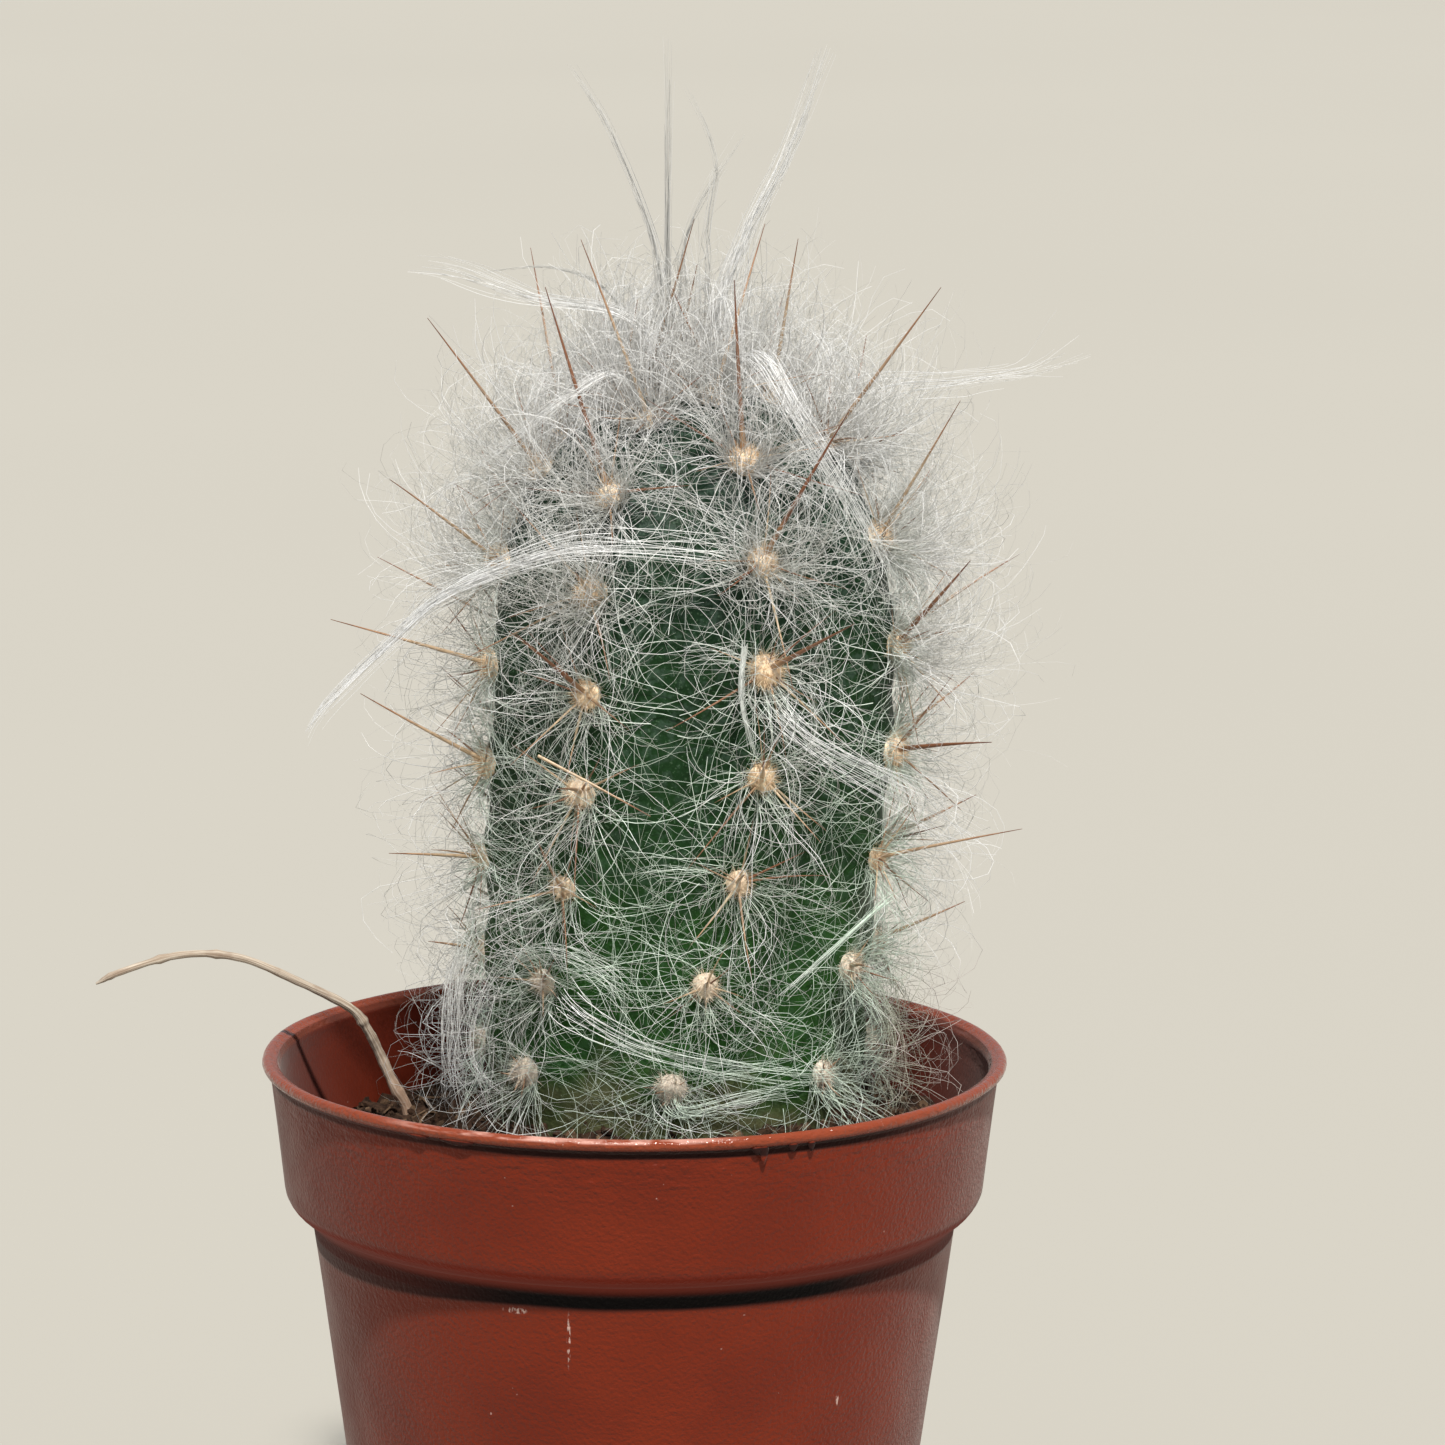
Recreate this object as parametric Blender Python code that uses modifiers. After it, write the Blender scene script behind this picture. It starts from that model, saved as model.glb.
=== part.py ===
# A young woolly column cactus in a small nursery pot: pot, soil, cactus and one dry stalk.
# Metres, +Z up. The origin is the middle of the pot's underside, and the front looks along -Y.

import bmesh
import bpy
import math
import random
from mathutils import Matrix, Vector

# Pot
POT_HEIGHT = 0.050
LIP_RADIUS = 0.0275
LIP_HEIGHT = 0.0008
COLLAR_TOP_RADIUS = 0.02688
COLLAR_FOOT_RADIUS = 0.02590
COLLAR_FOOT_Z = 0.0405
COLLAR_CURVE = 0.0023
COLLAR_CURVE_START = 4
COLLAR_CURVE_END = 70
COLLAR_CURVE_STEPS = 3
WALL_TOP_RADIUS = 0.02385
WALL_TOP_Z = 0.0376
FOOT_RADIUS = 0.0186
FOOT_ROUNDING = 0.0012
WALL = 0.0007
FLOOR = 0.0010
HOLE_RADIUS = 0.0019
HOLE_CIRCLE_RADIUS = 0.0120
HOLE_COUNT = 6
POT_SIDES = 40

# Soil
GAP = 0.0003
SOIL_EDGE_Z = 0.0426
SOIL_MOUND = 0.0040
MOUND_FLAT_RADIUS = 0.0140
MOUND_REACH = 0.0125
SOIL_LUMP = 0.00035
SOIL_SIDES = 40
SOIL_RINGS = 7

# Cactus body
SOIL_LINE = 0.0466
STUB_Z = 0.0390
STUB_RADIUS = 0.0125
SOIL_LINE_RADIUS = 0.0137
BELLY_RADIUS = 0.0151
BELLY_Z = 0.0740
DOME_Z = 0.0790
APEX_Z = 0.0989
DOME_FULLNESS = 2.4
RIB_DEPTH = 0.0015
RIB_ROUNDING = 1.9
RIB_ANGLES = (-30, 19, 69, 113, 157, 201, 243, 286)
RIB_COLUMNS = 6
TWIST_TOP_Z = 0.0750
TWIST_SPAN = 0.0250
TWIST_DEGREES = 20
TWIST_POWER = 1.4
BASE_X = 0.0029
LEAN = 0.0015
LEAN_SPAN = 0.0330
HOLE_RADIUS_IN_SOIL = 0.0143

# Areoles: the height of the first, and the distance along the rib to the next, for each rib
FIRST_AREOLE_Z = 0.0506
AREOLE_PITCHES = (0.00715, 0.00765, 0.00775, 0.0073, 0.0076, 0.0072, 0.0075, 0.0073)
CROWN_CLEAR = 0.0030
CUSHION_RADIUS = 0.0013
CUSHION_HEIGHT = 0.00125
TUBERCLE = 0.0003
TUBERCLE_REACH = 0.0022

# Spines
SEED = 41
CENTRAL_RADIUS = 0.00034
CENTRAL_LENGTH = 0.0130
CENTRAL_RISE = 26
CENTRAL_SIDE = 22
RADIAL_RADIUS = 0.00025
RADIAL_LENGTH = 0.0066
RADIAL_RISE = 24
RADIALS = 3
FIRST_ROW_LENGTH = 0.35
SECOND_ROW_LENGTH = 0.6
# Central spines with a lean of their own: rib, row, degrees aside, degrees up, length
LEANING_SPINES = {
    (0, 7): (-13, 8, 0.0135),
    (0, 6): (-30, 50, 0.0150),
    (0, 5): (20, 10, 0.0090),
    (0, 4): (2, 30, 0.0115),
    (0, 3): (26, 17, 0.0090),
    (0, 2): (36, 18, 0.0085),
    (0, 1): (40, 18, 0.0055),
    (1, 7): (23, 21, 0.0140),
    (1, 6): (-8, 39, 0.0135),
    (1, 5): (24, 42, 0.0140),
    (1, 4): (16, 23, 0.0120),
    (1, 3): (-17, 18, 0.0090),
    (1, 2): (-12, 20, 0.0085),
    (1, 1): (-6, 20, 0.0055),
    (2, 6): (-2, 5, 0.0150),
    (2, 5): (-16, 36, 0.0130),
    (2, 4): (-18, 41, 0.0100),
    (2, 3): (-31, 14, 0.0105),
    (2, 2): (0, 20, 0.0115),
    (2, 1): (-45, 18, 0.0060),
    (3, 7): (-14, 16, 0.0125),
    (3, 6): (35, 22, 0.0105),
    (3, 5): (35, 15, 0.0100),
    (3, 4): (-4, 34, 0.0124),
    (3, 2): (25, 15, 0.0100),
    (4, 7): (18, 30, 0.0085),
    (4, 6): (-2, 25, 0.0100),
    (6, 7): (11, 35, 0.0145),
    (6, 6): (-16, 29, 0.0150),
    (6, 5): (-30, 20, 0.0100),
    (6, 3): (-25, 20, 0.0095),
    (6, 2): (-20, 25, 0.0090),
    (7, 7): (-10, 30, 0.0080),
    (7, 6): (5, 17, 0.0145),
    (7, 5): (19, 25, 0.0130),
    (7, 4): (11, 18, 0.0135),
    (7, 3): (17, 29, 0.0120),
    (7, 2): (35, 14, 0.0100),
    (7, 1): (30, 20, 0.0050),
}

# Locks of hair: one on every second areole, lying aside, and upright ones round the crown
LOCK_RADIUS = 0.00042
LOCK_TIP = 0.3
LOCK_POINTS = 4
SIDE_LOCK_LENGTH = 0.0085
SIDE_LOCK_LIFT = 0.0026
CROWN_LOCK_LENGTH = 0.0095
# The long wisps, each from its root inside the plant to its tip, in millimetres
WISPS = {
    "crown_tall": [(4.4, 0, 97), (2.6, 0, 104), (2.2, 0, 109), (2.2, 0, 117), (2.1, 0, 125.2)],
    "crown_left": [(3.9, -2, 97), (2, -2, 104.7), (1.2, -2, 110.5), (-2, -2, 118.4), (-4.9, -2, 123.2)],
    "crown_right": [(4.9, 2, 97), (6, 2, 104.9), (8.1, 3, 110.7), (11, 4, 116.4), (13.8, 5, 124)],
    "crown_fork": [(4.4, 3, 96.5), (3.4, 3, 105), (3.6, 3, 110.7), (7.7, 4, 117.9)],
    "crown_thin": [(5.6, 1, 97), (5, 1, 109.4), (5.6, 1, 116), (3.4, 1, 122)],
    "upper_left": [(1.4, -4, 96.5), (0.2, -4, 104.5), (-7.7, -3, 106.4), (-12.9, 0, 108), (-16.6, 2, 108.6)],
    "back_left": [(1, 5, 96), (-1.5, 5, 105), (-6, 6, 107.5), (-12, 7, 107)],
    "shoulder_left": [(0.9, -5, 96.6), (-1.5, -8.6, 101.6), (-5.3, -10.4, 99.8), (-9.3, -10, 96.4), (-14, -8, 92.8)],
    "shoulder_right": [(6, -4, 96.6), (8.4, -8.6, 103), (11.7, -12.4, 98.9), (15.3, -12, 93.1), (16.8, -11, 89.7)],
    "long_left": [
        (8.6, -12.6, 88.4),
        (5, -16.6, 90),
        (-5.2, -16.4, 90.1),
        (-13.1, -11.6, 86.3),
        (-17.6, -8.6, 82.1),
        (-22.4, -6, 77),
        (-23.9, -5, 74.6),
    ],
    "thin_right": [(12, -3, 94.6), (16.9, -2.4, 99.6), (23.5, 0, 100.2), (29.3, 1, 100.8), (33.2, 2, 102)],
    "flank_right": [(9.2, -13.4, 81.2), (9.2, -17, 79.4), (14, -16, 75.6), (20, -10, 72), (24, -5, 67.9)],
    "straight_right": [(15.2, -6.6, 64.2), (17.4, -9.8, 62.8), (13.9, -13.9, 60.5), (10.1, -17, 57.6)],
    "low_left": [(-9.6, -2, 58.2), (-13, -5, 57), (-14.2, -7.4, 52.6), (-13, -9.4, 48.9)],
    "round_base": [(-7.8, -8, 58.6), (-5.4, -14.6, 59.8), (0.6, -17, 56.9), (7, -16.8, 54), (16.6, -11.8, 51)],
    "low_front": [(2.4, -13, 50.8), (3.6, -16.2, 49.4), (7.8, -16.6, 50.4), (12.1, -15, 50.8)],
    "back_low": [(5.6, 11, 60), (9, 17, 57), (14, 15.6, 53), (19, 10, 51.4)],
    "back_high": [(2, 13.4, 84), (-1, 17, 84), (-8, 16.4, 80), (-14, 12, 75)],
}
WISP_RADIUS = 0.00045
WISP_STEPS = 2

# Dry stalk, in millimetres, from its root in the soil to its tip, and its radius at each end
STALK = [
    (-16.8, 5, 39.5),
    (-17, 5, 43.9),
    (-18.1, 5, 46.2),
    (-19.1, 5, 48.5),
    (-20, 4.5, 50.5),
    (-21.3, 4, 52.3),
    (-24.9, 3, 54.4),
    (-29.3, 2, 56.5),
    (-33.7, 1, 56.9),
    (-38, 0, 55.8),
    (-39.8, 0, 54.9),
]
STALK_RADIUS = 0.00052
STALK_TIP = 0.46
STALK_STEPS = 2
STALK_HOLE_RADIUS = 0.0011

MILLIMETRE = 0.001


def clear_scene():
    for obj in list(bpy.data.objects):
        bpy.data.objects.remove(obj, do_unlink=True)


def new_collection(name):
    collection = bpy.data.collections.new(name)
    bpy.context.scene.collection.children.link(collection)
    return collection


def new_object(name, mesh, collection):
    obj = bpy.data.objects.new(name, mesh)
    collection.objects.link(obj)
    return obj


def give_material(obj, name, colour, roughness):
    material = bpy.data.materials.new(name)
    material.use_nodes = True
    shader = material.node_tree.nodes["Principled BSDF"]
    shader.inputs["Base Color"].default_value = (*colour, 1)
    shader.inputs["Roughness"].default_value = roughness
    shader.inputs["Metallic"].default_value = 0
    obj.data.materials.clear()
    obj.data.materials.append(material)


def evaluated_mesh(obj):
    graph = bpy.context.evaluated_depsgraph_get()
    return bpy.data.meshes.new_from_object(obj.evaluated_get(graph))


def turned(name, profile, sides, collection):
    # A profile of (radius, height) points, from the axis out and back to the axis
    mesh = bpy.data.meshes.new(name)
    points = [(radius, 0, height) for radius, height in profile]
    edges = [(k, k + 1) for k in range(len(points) - 1)]
    mesh.from_pydata(points, edges, [])
    obj = new_object(name, mesh, collection)
    screw = obj.modifiers.new("turn", "SCREW")
    screw.axis = "Z"
    screw.angle = math.tau
    screw.steps = sides
    screw.render_steps = sides
    screw.use_merge_vertices = True
    screw.merge_threshold = 0.00001
    return obj


def make_plain(obj):
    # Replaces the object's mesh by what its modifiers make of it
    mesh = evaluated_mesh(obj)
    obj.modifiers.clear()
    obj.data = mesh


def smooth(obj, degrees=35):
    obj.data.shade_smooth()
    obj.data.set_sharp_from_angle(angle=math.radians(degrees))


def boolean(obj, operation, cutter):
    modifier = obj.modifiers.new(cutter.name, "BOOLEAN")
    modifier.operation = operation
    modifier.object = cutter


def cylinder_cutter(name, radius, bottom, top, place, sides, collection):
    made = bmesh.new()
    bmesh.ops.create_cone(
        made, cap_ends=True, segments=sides, radius1=radius, radius2=radius, depth=top - bottom
    )
    mesh = bpy.data.meshes.new(name)
    made.to_mesh(mesh)
    made.free()
    obj = new_object(name, mesh, collection)
    obj.location = (place[0], place[1], (bottom + top) / 2)
    obj.hide_render = True
    obj.display_type = "WIRE"
    return obj


# The pot


def pot_wall(inset):
    # The wall's outline from under the lip down to the foot, moved in by inset
    steps = COLLAR_CURVE_STEPS
    start = math.radians(COLLAR_CURVE_START)
    centre_r = COLLAR_FOOT_RADIUS - COLLAR_CURVE * math.cos(start)
    centre_z = COLLAR_FOOT_Z + COLLAR_CURVE * math.sin(start)
    points = [(COLLAR_TOP_RADIUS - inset, POT_HEIGHT - 1.4 * LIP_HEIGHT)]
    for k in range(steps + 1):
        share = k / steps
        angle = math.radians(COLLAR_CURVE_START + share * (COLLAR_CURVE_END - COLLAR_CURVE_START))
        reach = COLLAR_CURVE - inset
        points.append((centre_r + reach * math.cos(angle), centre_z - reach * math.sin(angle)))
    points.append((WALL_TOP_RADIUS - inset, WALL_TOP_Z))
    return points


def wall_radius(height):
    slope = (WALL_TOP_RADIUS - FOOT_RADIUS) / WALL_TOP_Z
    return FOOT_RADIUS + slope * height


def pot_profile():
    floor_edge = wall_radius(FLOOR) - WALL
    inside = [
        (0, FLOOR),
        (floor_edge - FOOT_ROUNDING, FLOOR),
        (floor_edge - 0.3 * FOOT_ROUNDING, FLOOR + 0.3 * FOOT_ROUNDING),
        (wall_radius(FLOOR + FOOT_ROUNDING) - WALL, FLOOR + FOOT_ROUNDING),
    ]
    inside += reversed(pot_wall(WALL))
    lip_foot = POT_HEIGHT - LIP_HEIGHT
    lip = [
        (LIP_RADIUS - 0.00135, lip_foot),
        (LIP_RADIUS - 0.0010, POT_HEIGHT - 0.00015),
        (LIP_RADIUS - 0.0006, POT_HEIGHT),
        (LIP_RADIUS - 0.0002, POT_HEIGHT - 0.0001),
        (LIP_RADIUS, POT_HEIGHT - 0.5 * LIP_HEIGHT),
        (LIP_RADIUS - 0.00012, lip_foot + 0.00005),
        (LIP_RADIUS - 0.00055, lip_foot - 0.0001),
    ]
    outside = pot_wall(0) + [
        (wall_radius(FOOT_ROUNDING), FOOT_ROUNDING),
        (wall_radius(0) - 0.3 * FOOT_ROUNDING, 0.3 * FOOT_ROUNDING),
        (wall_radius(0) - FOOT_ROUNDING, 0),
        (0, 0),
    ]
    return inside + lip + outside


def make_pot(parts, cutters):
    pot = turned("pot", pot_profile(), POT_SIDES, parts)
    for k in range(HOLE_COUNT):
        angle = math.tau * k / HOLE_COUNT
        place = (HOLE_CIRCLE_RADIUS * math.cos(angle), HOLE_CIRCLE_RADIUS * math.sin(angle))
        hole = cylinder_cutter(
            f"drain_{k + 1}", HOLE_RADIUS, -2 * FLOOR, 3 * FLOOR, place, 12, cutters
        )
        boolean(pot, "DIFFERENCE", hole)
    make_plain(pot)
    smooth(pot)
    give_material(pot, "pot_plastic", (0.21, 0.028, 0.012), 0.45)
    return pot


# The soil


def mound_height(x, y):
    away = math.hypot(x - BASE_X, y) - MOUND_FLAT_RADIUS
    fall = min(max(away / MOUND_REACH, 0), 1)
    lumps = math.sin(900 * x + 1.3) * math.sin(760 * y + 0.4) + math.sin(1500 * x + 1100 * y)
    return SOIL_EDGE_Z + SOIL_MOUND * (1 - fall) ** 1.6 + SOIL_LUMP * lumps


def make_soil(parts, cutters):
    bottom = FLOOR + GAP
    inner = [(r - GAP, z) for r, z in pot_wall(WALL) if z < SOIL_EDGE_Z - GAP]
    slope = (COLLAR_TOP_RADIUS - COLLAR_FOOT_RADIUS) / (POT_HEIGHT - COLLAR_FOOT_Z)
    edge_radius = inner[0][0] + slope * (SOIL_EDGE_Z - inner[0][1])
    rings = [edge_radius * k / SOIL_RINGS for k in range(SOIL_RINGS + 1)]
    profile = [(r, SOIL_EDGE_Z) for r in rings] + inner
    foot = wall_radius(bottom + FOOT_ROUNDING) - WALL - GAP
    profile += [
        (foot, bottom + FOOT_ROUNDING),
        (foot - FOOT_ROUNDING, bottom),
        (0, bottom),
    ]
    soil = turned("soil", profile, SOIL_SIDES, parts)
    make_plain(soil)
    for vertex in soil.data.vertices:
        if vertex.co.z > SOIL_EDGE_Z - MILLIMETRE * 0.01:
            vertex.co.z = mound_height(vertex.co.x, vertex.co.y)
    root_hole = cylinder_cutter(
        "root_hole", HOLE_RADIUS_IN_SOIL, STUB_Z - GAP, APEX_Z, (BASE_X, 0), 32, cutters
    )
    boolean(soil, "DIFFERENCE", root_hole)
    stalk_foot = STALK[0]
    stalk_place = (stalk_foot[0] * MILLIMETRE, stalk_foot[1] * MILLIMETRE)
    stalk_hole = cylinder_cutter(
        "stalk_hole",
        STALK_HOLE_RADIUS,
        stalk_foot[2] * MILLIMETRE - GAP,
        APEX_Z,
        stalk_place,
        10,
        cutters,
    )
    boolean(soil, "DIFFERENCE", stalk_hole)
    make_plain(soil)
    smooth(soil)
    give_material(soil, "peat_soil", (0.035, 0.018, 0.010), 0.95)
    return soil


# The cactus body


def eased(share):
    share = min(max(share, 0), 1)
    return share * share * (3 - 2 * share)


def body_radius(z):
    # The crest radius at a height
    if z >= DOME_Z:
        share = min((z - DOME_Z) / (APEX_Z - DOME_Z), 1)
        return BELLY_RADIUS * (1 - share**DOME_FULLNESS) ** (1 / DOME_FULLNESS)
    if z >= SOIL_LINE:
        swell = eased((z - SOIL_LINE) / (BELLY_Z - SOIL_LINE))
        return SOIL_LINE_RADIUS + (BELLY_RADIUS - SOIL_LINE_RADIUS) * swell
    taper = (SOIL_LINE - z) / (SOIL_LINE - STUB_Z)
    return SOIL_LINE_RADIUS - (SOIL_LINE_RADIUS - STUB_RADIUS) * taper**2


def rib_depth(z):
    depth = RIB_DEPTH * eased((z - SOIL_LINE) / 0.008)
    if z > DOME_Z:
        depth *= body_radius(z) / BELLY_RADIUS
    return depth


def axis_x(z):
    return BASE_X + LEAN * eased((z - SOIL_LINE) / LEAN_SPAN)


def twist(z):
    below = max(TWIST_TOP_Z - z, 0) / TWIST_SPAN
    return -TWIST_DEGREES * below**TWIST_POWER


def rib_place(column_angle):
    # A column's angle to the real angle between two rib crests, and its distance from a crest, 0 to 1
    ribs = len(RIB_ANGLES)
    turn = (column_angle / math.tau * ribs) % ribs
    rib = int(turn)
    share = turn - rib
    start = RIB_ANGLES[rib]
    end = RIB_ANGLES[(rib + 1) % ribs] + (360 if rib + 1 == ribs else 0)
    return start + share * (end - start), 1 - abs(2 * share - 1)


def surface_point(angle_degrees, z, out=0.0):
    # A point on a crest, or off it by out; angle 0 is the front, and +X is at 90 degrees
    angle = math.radians(angle_degrees + twist(z))
    radius = body_radius(z)
    point = Vector((axis_x(z) + radius * math.sin(angle), -radius * math.cos(angle), z))
    return point + out * surface_frame(angle_degrees, z).col[2].to_3d()


def surface_frame(angle_degrees, z):
    # Columns: aside (to growing angles), up along the rib, and straight out
    step = 0.0002
    high = min(z + step, APEX_Z)
    slope = (body_radius(high) - body_radius(z - step)) / (high - z + step)
    angle = math.radians(angle_degrees + twist(z))
    outward = Vector((math.sin(angle), -math.cos(angle), 0))
    along = (outward * slope + Vector((0, 0, 1))).normalized()
    aside = Vector((math.cos(angle), math.sin(angle), 0))
    return Matrix((aside, along, aside.cross(along))).transposed()


def areole_heights(rib):
    # Heights of one rib's areoles, a pitch apart along the crest, up to the crown
    heights = [FIRST_AREOLE_Z]
    step = 0.00002
    walked = 0.0
    z = FIRST_AREOLE_Z
    while body_radius(z) > CROWN_CLEAR:
        rise = body_radius(z + step) - body_radius(z)
        walked += math.hypot(step, rise)
        z += step
        if walked >= AREOLE_PITCHES[rib]:
            heights.append(z)
            walked = 0.0
    return heights


def make_body(areoles, collection):
    profile = []
    dome_rings = 9
    for k in range(dome_rings):
        angle = math.pi / 2 * k / dome_rings
        share = max(math.cos(angle), 0) ** (2 / DOME_FULLNESS)
        z = DOME_Z + (APEX_Z - DOME_Z) * share
        profile.append((body_radius(z), z))
    side_rings = 11
    for k in range(side_rings + 1):
        z = DOME_Z + (SOIL_LINE - DOME_Z) * k / side_rings
        profile.append((body_radius(z), z))
    middle = (SOIL_LINE + STUB_Z) / 2
    profile += [(body_radius(middle), middle), (STUB_RADIUS, STUB_Z), (0, STUB_Z)]
    body = turned("cactus", profile, RIB_COLUMNS * len(RIB_ANGLES), collection)
    make_plain(body)
    for vertex in body.data.vertices:
        x, y, z = vertex.co
        radius = math.hypot(x, y)
        degrees, from_crest = rib_place(math.atan2(y, x) % math.tau)
        radius -= rib_depth(z) * from_crest**RIB_ROUNDING * min(radius / body_radius_or_one(z), 1)
        angle = math.radians(degrees + twist(z))
        spot = Vector((axis_x(z) + radius * math.sin(angle), -radius * math.cos(angle), z))
        for areole in areoles:
            near = (spot - areole["point"]).length / TUBERCLE_REACH
            if near < 2:
                spot += areole["frame"].col[2].to_3d() * TUBERCLE * math.exp(-near * near)
        vertex.co = spot
    return body


def body_radius_or_one(z):
    return body_radius(z) or 1


# What grows on the body


def list_areoles():
    areoles = []
    for rib, angle in enumerate(RIB_ANGLES):
        for row, z in enumerate(areole_heights(rib)):
            frame = surface_frame(angle, z)
            areoles.append(
                {"rib": rib, "row": row, "z": z, "point": surface_point(angle, z), "frame": frame}
            )
    return areoles


def cushion_mesh():
    made = bmesh.new()
    bmesh.ops.create_uvsphere(made, u_segments=6, v_segments=4, radius=1)
    mesh = bpy.data.meshes.new("cushion")
    made.to_mesh(mesh)
    made.free()
    return mesh


def needle_mesh():
    # One unit long along +Z, with its root at the origin
    made = bmesh.new()
    bmesh.ops.create_cone(made, cap_ends=True, segments=3, radius1=1, radius2=0, depth=1)
    bmesh.ops.translate(made, verts=made.verts, vec=(0, 0, 0.5))
    bmesh.ops.remove_doubles(made, verts=made.verts, dist=0.000001)
    mesh = bpy.data.meshes.new("needle")
    made.to_mesh(mesh)
    made.free()
    return mesh


def place_needle(mesh, root, direction, radius, length, collection):
    obj = new_object("needle", mesh, collection)
    turn = direction.to_track_quat("Z", "Y").to_matrix().to_4x4()
    obj.matrix_world = Matrix.Translation(root) @ turn @ Matrix.Diagonal((radius, radius, length, 1))


def leaning(frame, aside_degrees, up_degrees):
    # A direction that leans aside and up from straight out
    aside = math.radians(aside_degrees)
    up = math.radians(up_degrees)
    local = Vector((math.sin(aside) * math.cos(up), math.sin(up), math.cos(aside) * math.cos(up)))
    return (frame @ local).normalized()


def row_share(row):
    return (FIRST_ROW_LENGTH, SECOND_ROW_LENGTH)[row] if row < 2 else 1.0


def add_spines(areole, needle, dice, collection):
    frame = areole["frame"]
    root = areole["point"]
    key = (areole["rib"], areole["row"])
    share = row_share(areole["row"])
    aside, up, length = LEANING_SPINES.get(
        key,
        (
            dice.uniform(-CENTRAL_SIDE, CENTRAL_SIDE),
            CENTRAL_RISE + dice.uniform(-10, 14),
            CENTRAL_LENGTH * share * dice.uniform(0.8, 1.05),
        ),
    )
    if areole["row"] > 0:
        place_needle(needle, root, leaning(frame, aside, up), CENTRAL_RADIUS, length, collection)
    turn = dice.uniform(0, 90)
    for k in range(RADIALS):
        around = math.radians(turn + 360 * k / RADIALS + dice.uniform(-16, 16))
        rise = math.radians(RADIAL_RISE + dice.uniform(-6, 16))
        local = Vector(
            (
                math.cos(around) * math.cos(rise),
                math.sin(around) * math.cos(rise),
                math.sin(rise),
            )
        )
        length = RADIAL_LENGTH * share * dice.uniform(0.75, 1.2)
        start = root + frame.col[2].to_3d() * CUSHION_HEIGHT * 0.4
        place_needle(needle, start, frame @ local, RADIAL_RADIUS, length, collection)


def smooth_route(points, steps):
    # A Catmull-Rom curve through the points, with steps pieces between two of them
    ends = [2 * points[0] - points[1], *points, 2 * points[-1] - points[-2]]
    route = []
    for k in range(1, len(ends) - 2):
        before, start, end, after = ends[k - 1 : k + 3]
        for step in range(steps):
            t = step / steps
            route.append(
                0.5
                * (
                    2 * start
                    + (end - before) * t
                    + (2 * before - 5 * start + 4 * end - after) * t**2
                    + (3 * start - before - 3 * end + after) * t**3
                )
            )
    route.append(points[-1])
    return route


def tube(name, route, radius, tip, sides_level, collection):
    # A tapered tube along the route, its caps welded, as a mesh object
    curve = bpy.data.curves.new(name, "CURVE")
    curve.dimensions = "3D"
    curve.bevel_depth = radius
    curve.bevel_resolution = sides_level
    curve.use_fill_caps = True
    spline = curve.splines.new("POLY")
    spline.points.add(len(route) - 1)
    for k, place in enumerate(route):
        spline.points[k].co = (*place, 1)
        spline.points[k].radius = 1 + (tip - 1) * k / (len(route) - 1)
    source = new_object(name + "_curve", curve, collection)
    mesh = evaluated_mesh(source)
    welded = bmesh.new()
    welded.from_mesh(mesh)
    bmesh.ops.remove_doubles(welded, verts=welded.verts, dist=0.000001)
    welded.to_mesh(mesh)
    welded.free()
    obj = new_object(name, mesh, collection)
    obj.matrix_world = source.matrix_world
    bpy.data.objects.remove(source)
    return obj


def add_lock(areole, top_row, dice, collection):
    # A lock rises from its cushion and bends aside along the body, or stands up at the crown
    frame = areole["frame"]
    side = dice.choice((-1, 1))
    bend = dice.uniform(0.7, 1.2)
    route = []
    for k in range(LOCK_POINTS):
        share = k / (LOCK_POINTS - 1)
        if top_row:
            reach = CROWN_LOCK_LENGTH * share
            inward = Vector((axis_x(APEX_Z), 0, APEX_Z)) - areole["point"]
            lean = Vector((inward.x, inward.y, 0)) * 0.35 * share * share * bend
            spread = frame.col[0].to_3d() * side * 0.0022 * share * share
            place = areole["point"] + Vector((0, 0, reach)) + lean + spread
            place += frame.col[2].to_3d() * 0.002 * math.sin(math.pi * share)
        else:
            sweep = side * bend * SIDE_LOCK_LENGTH * share / BELLY_RADIUS
            height = areole["z"] + 0.0015 * math.sin(3 * share) * bend
            angle = RIB_ANGLES[areole["rib"]] + math.degrees(sweep)
            lift = SIDE_LOCK_LIFT * math.sin(0.25 * math.pi + 0.6 * math.pi * share)
            lift -= SIDE_LOCK_LIFT * math.sin(0.25 * math.pi) * (1 - share)
            place = surface_point(angle, height, lift)
        route.append(place)
    tube("lock", route, LOCK_RADIUS, LOCK_TIP, 0, collection)


def fuse(obj, collection, solver):
    modifier = obj.modifiers.new("grown_together", "BOOLEAN")
    modifier.operation = "UNION"
    modifier.operand_type = "COLLECTION"
    modifier.collection = collection
    modifier.solver = solver
    make_plain(obj)
    for piece in list(collection.objects):
        bpy.data.objects.remove(piece, do_unlink=True)
    bpy.data.collections.remove(collection)


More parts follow.
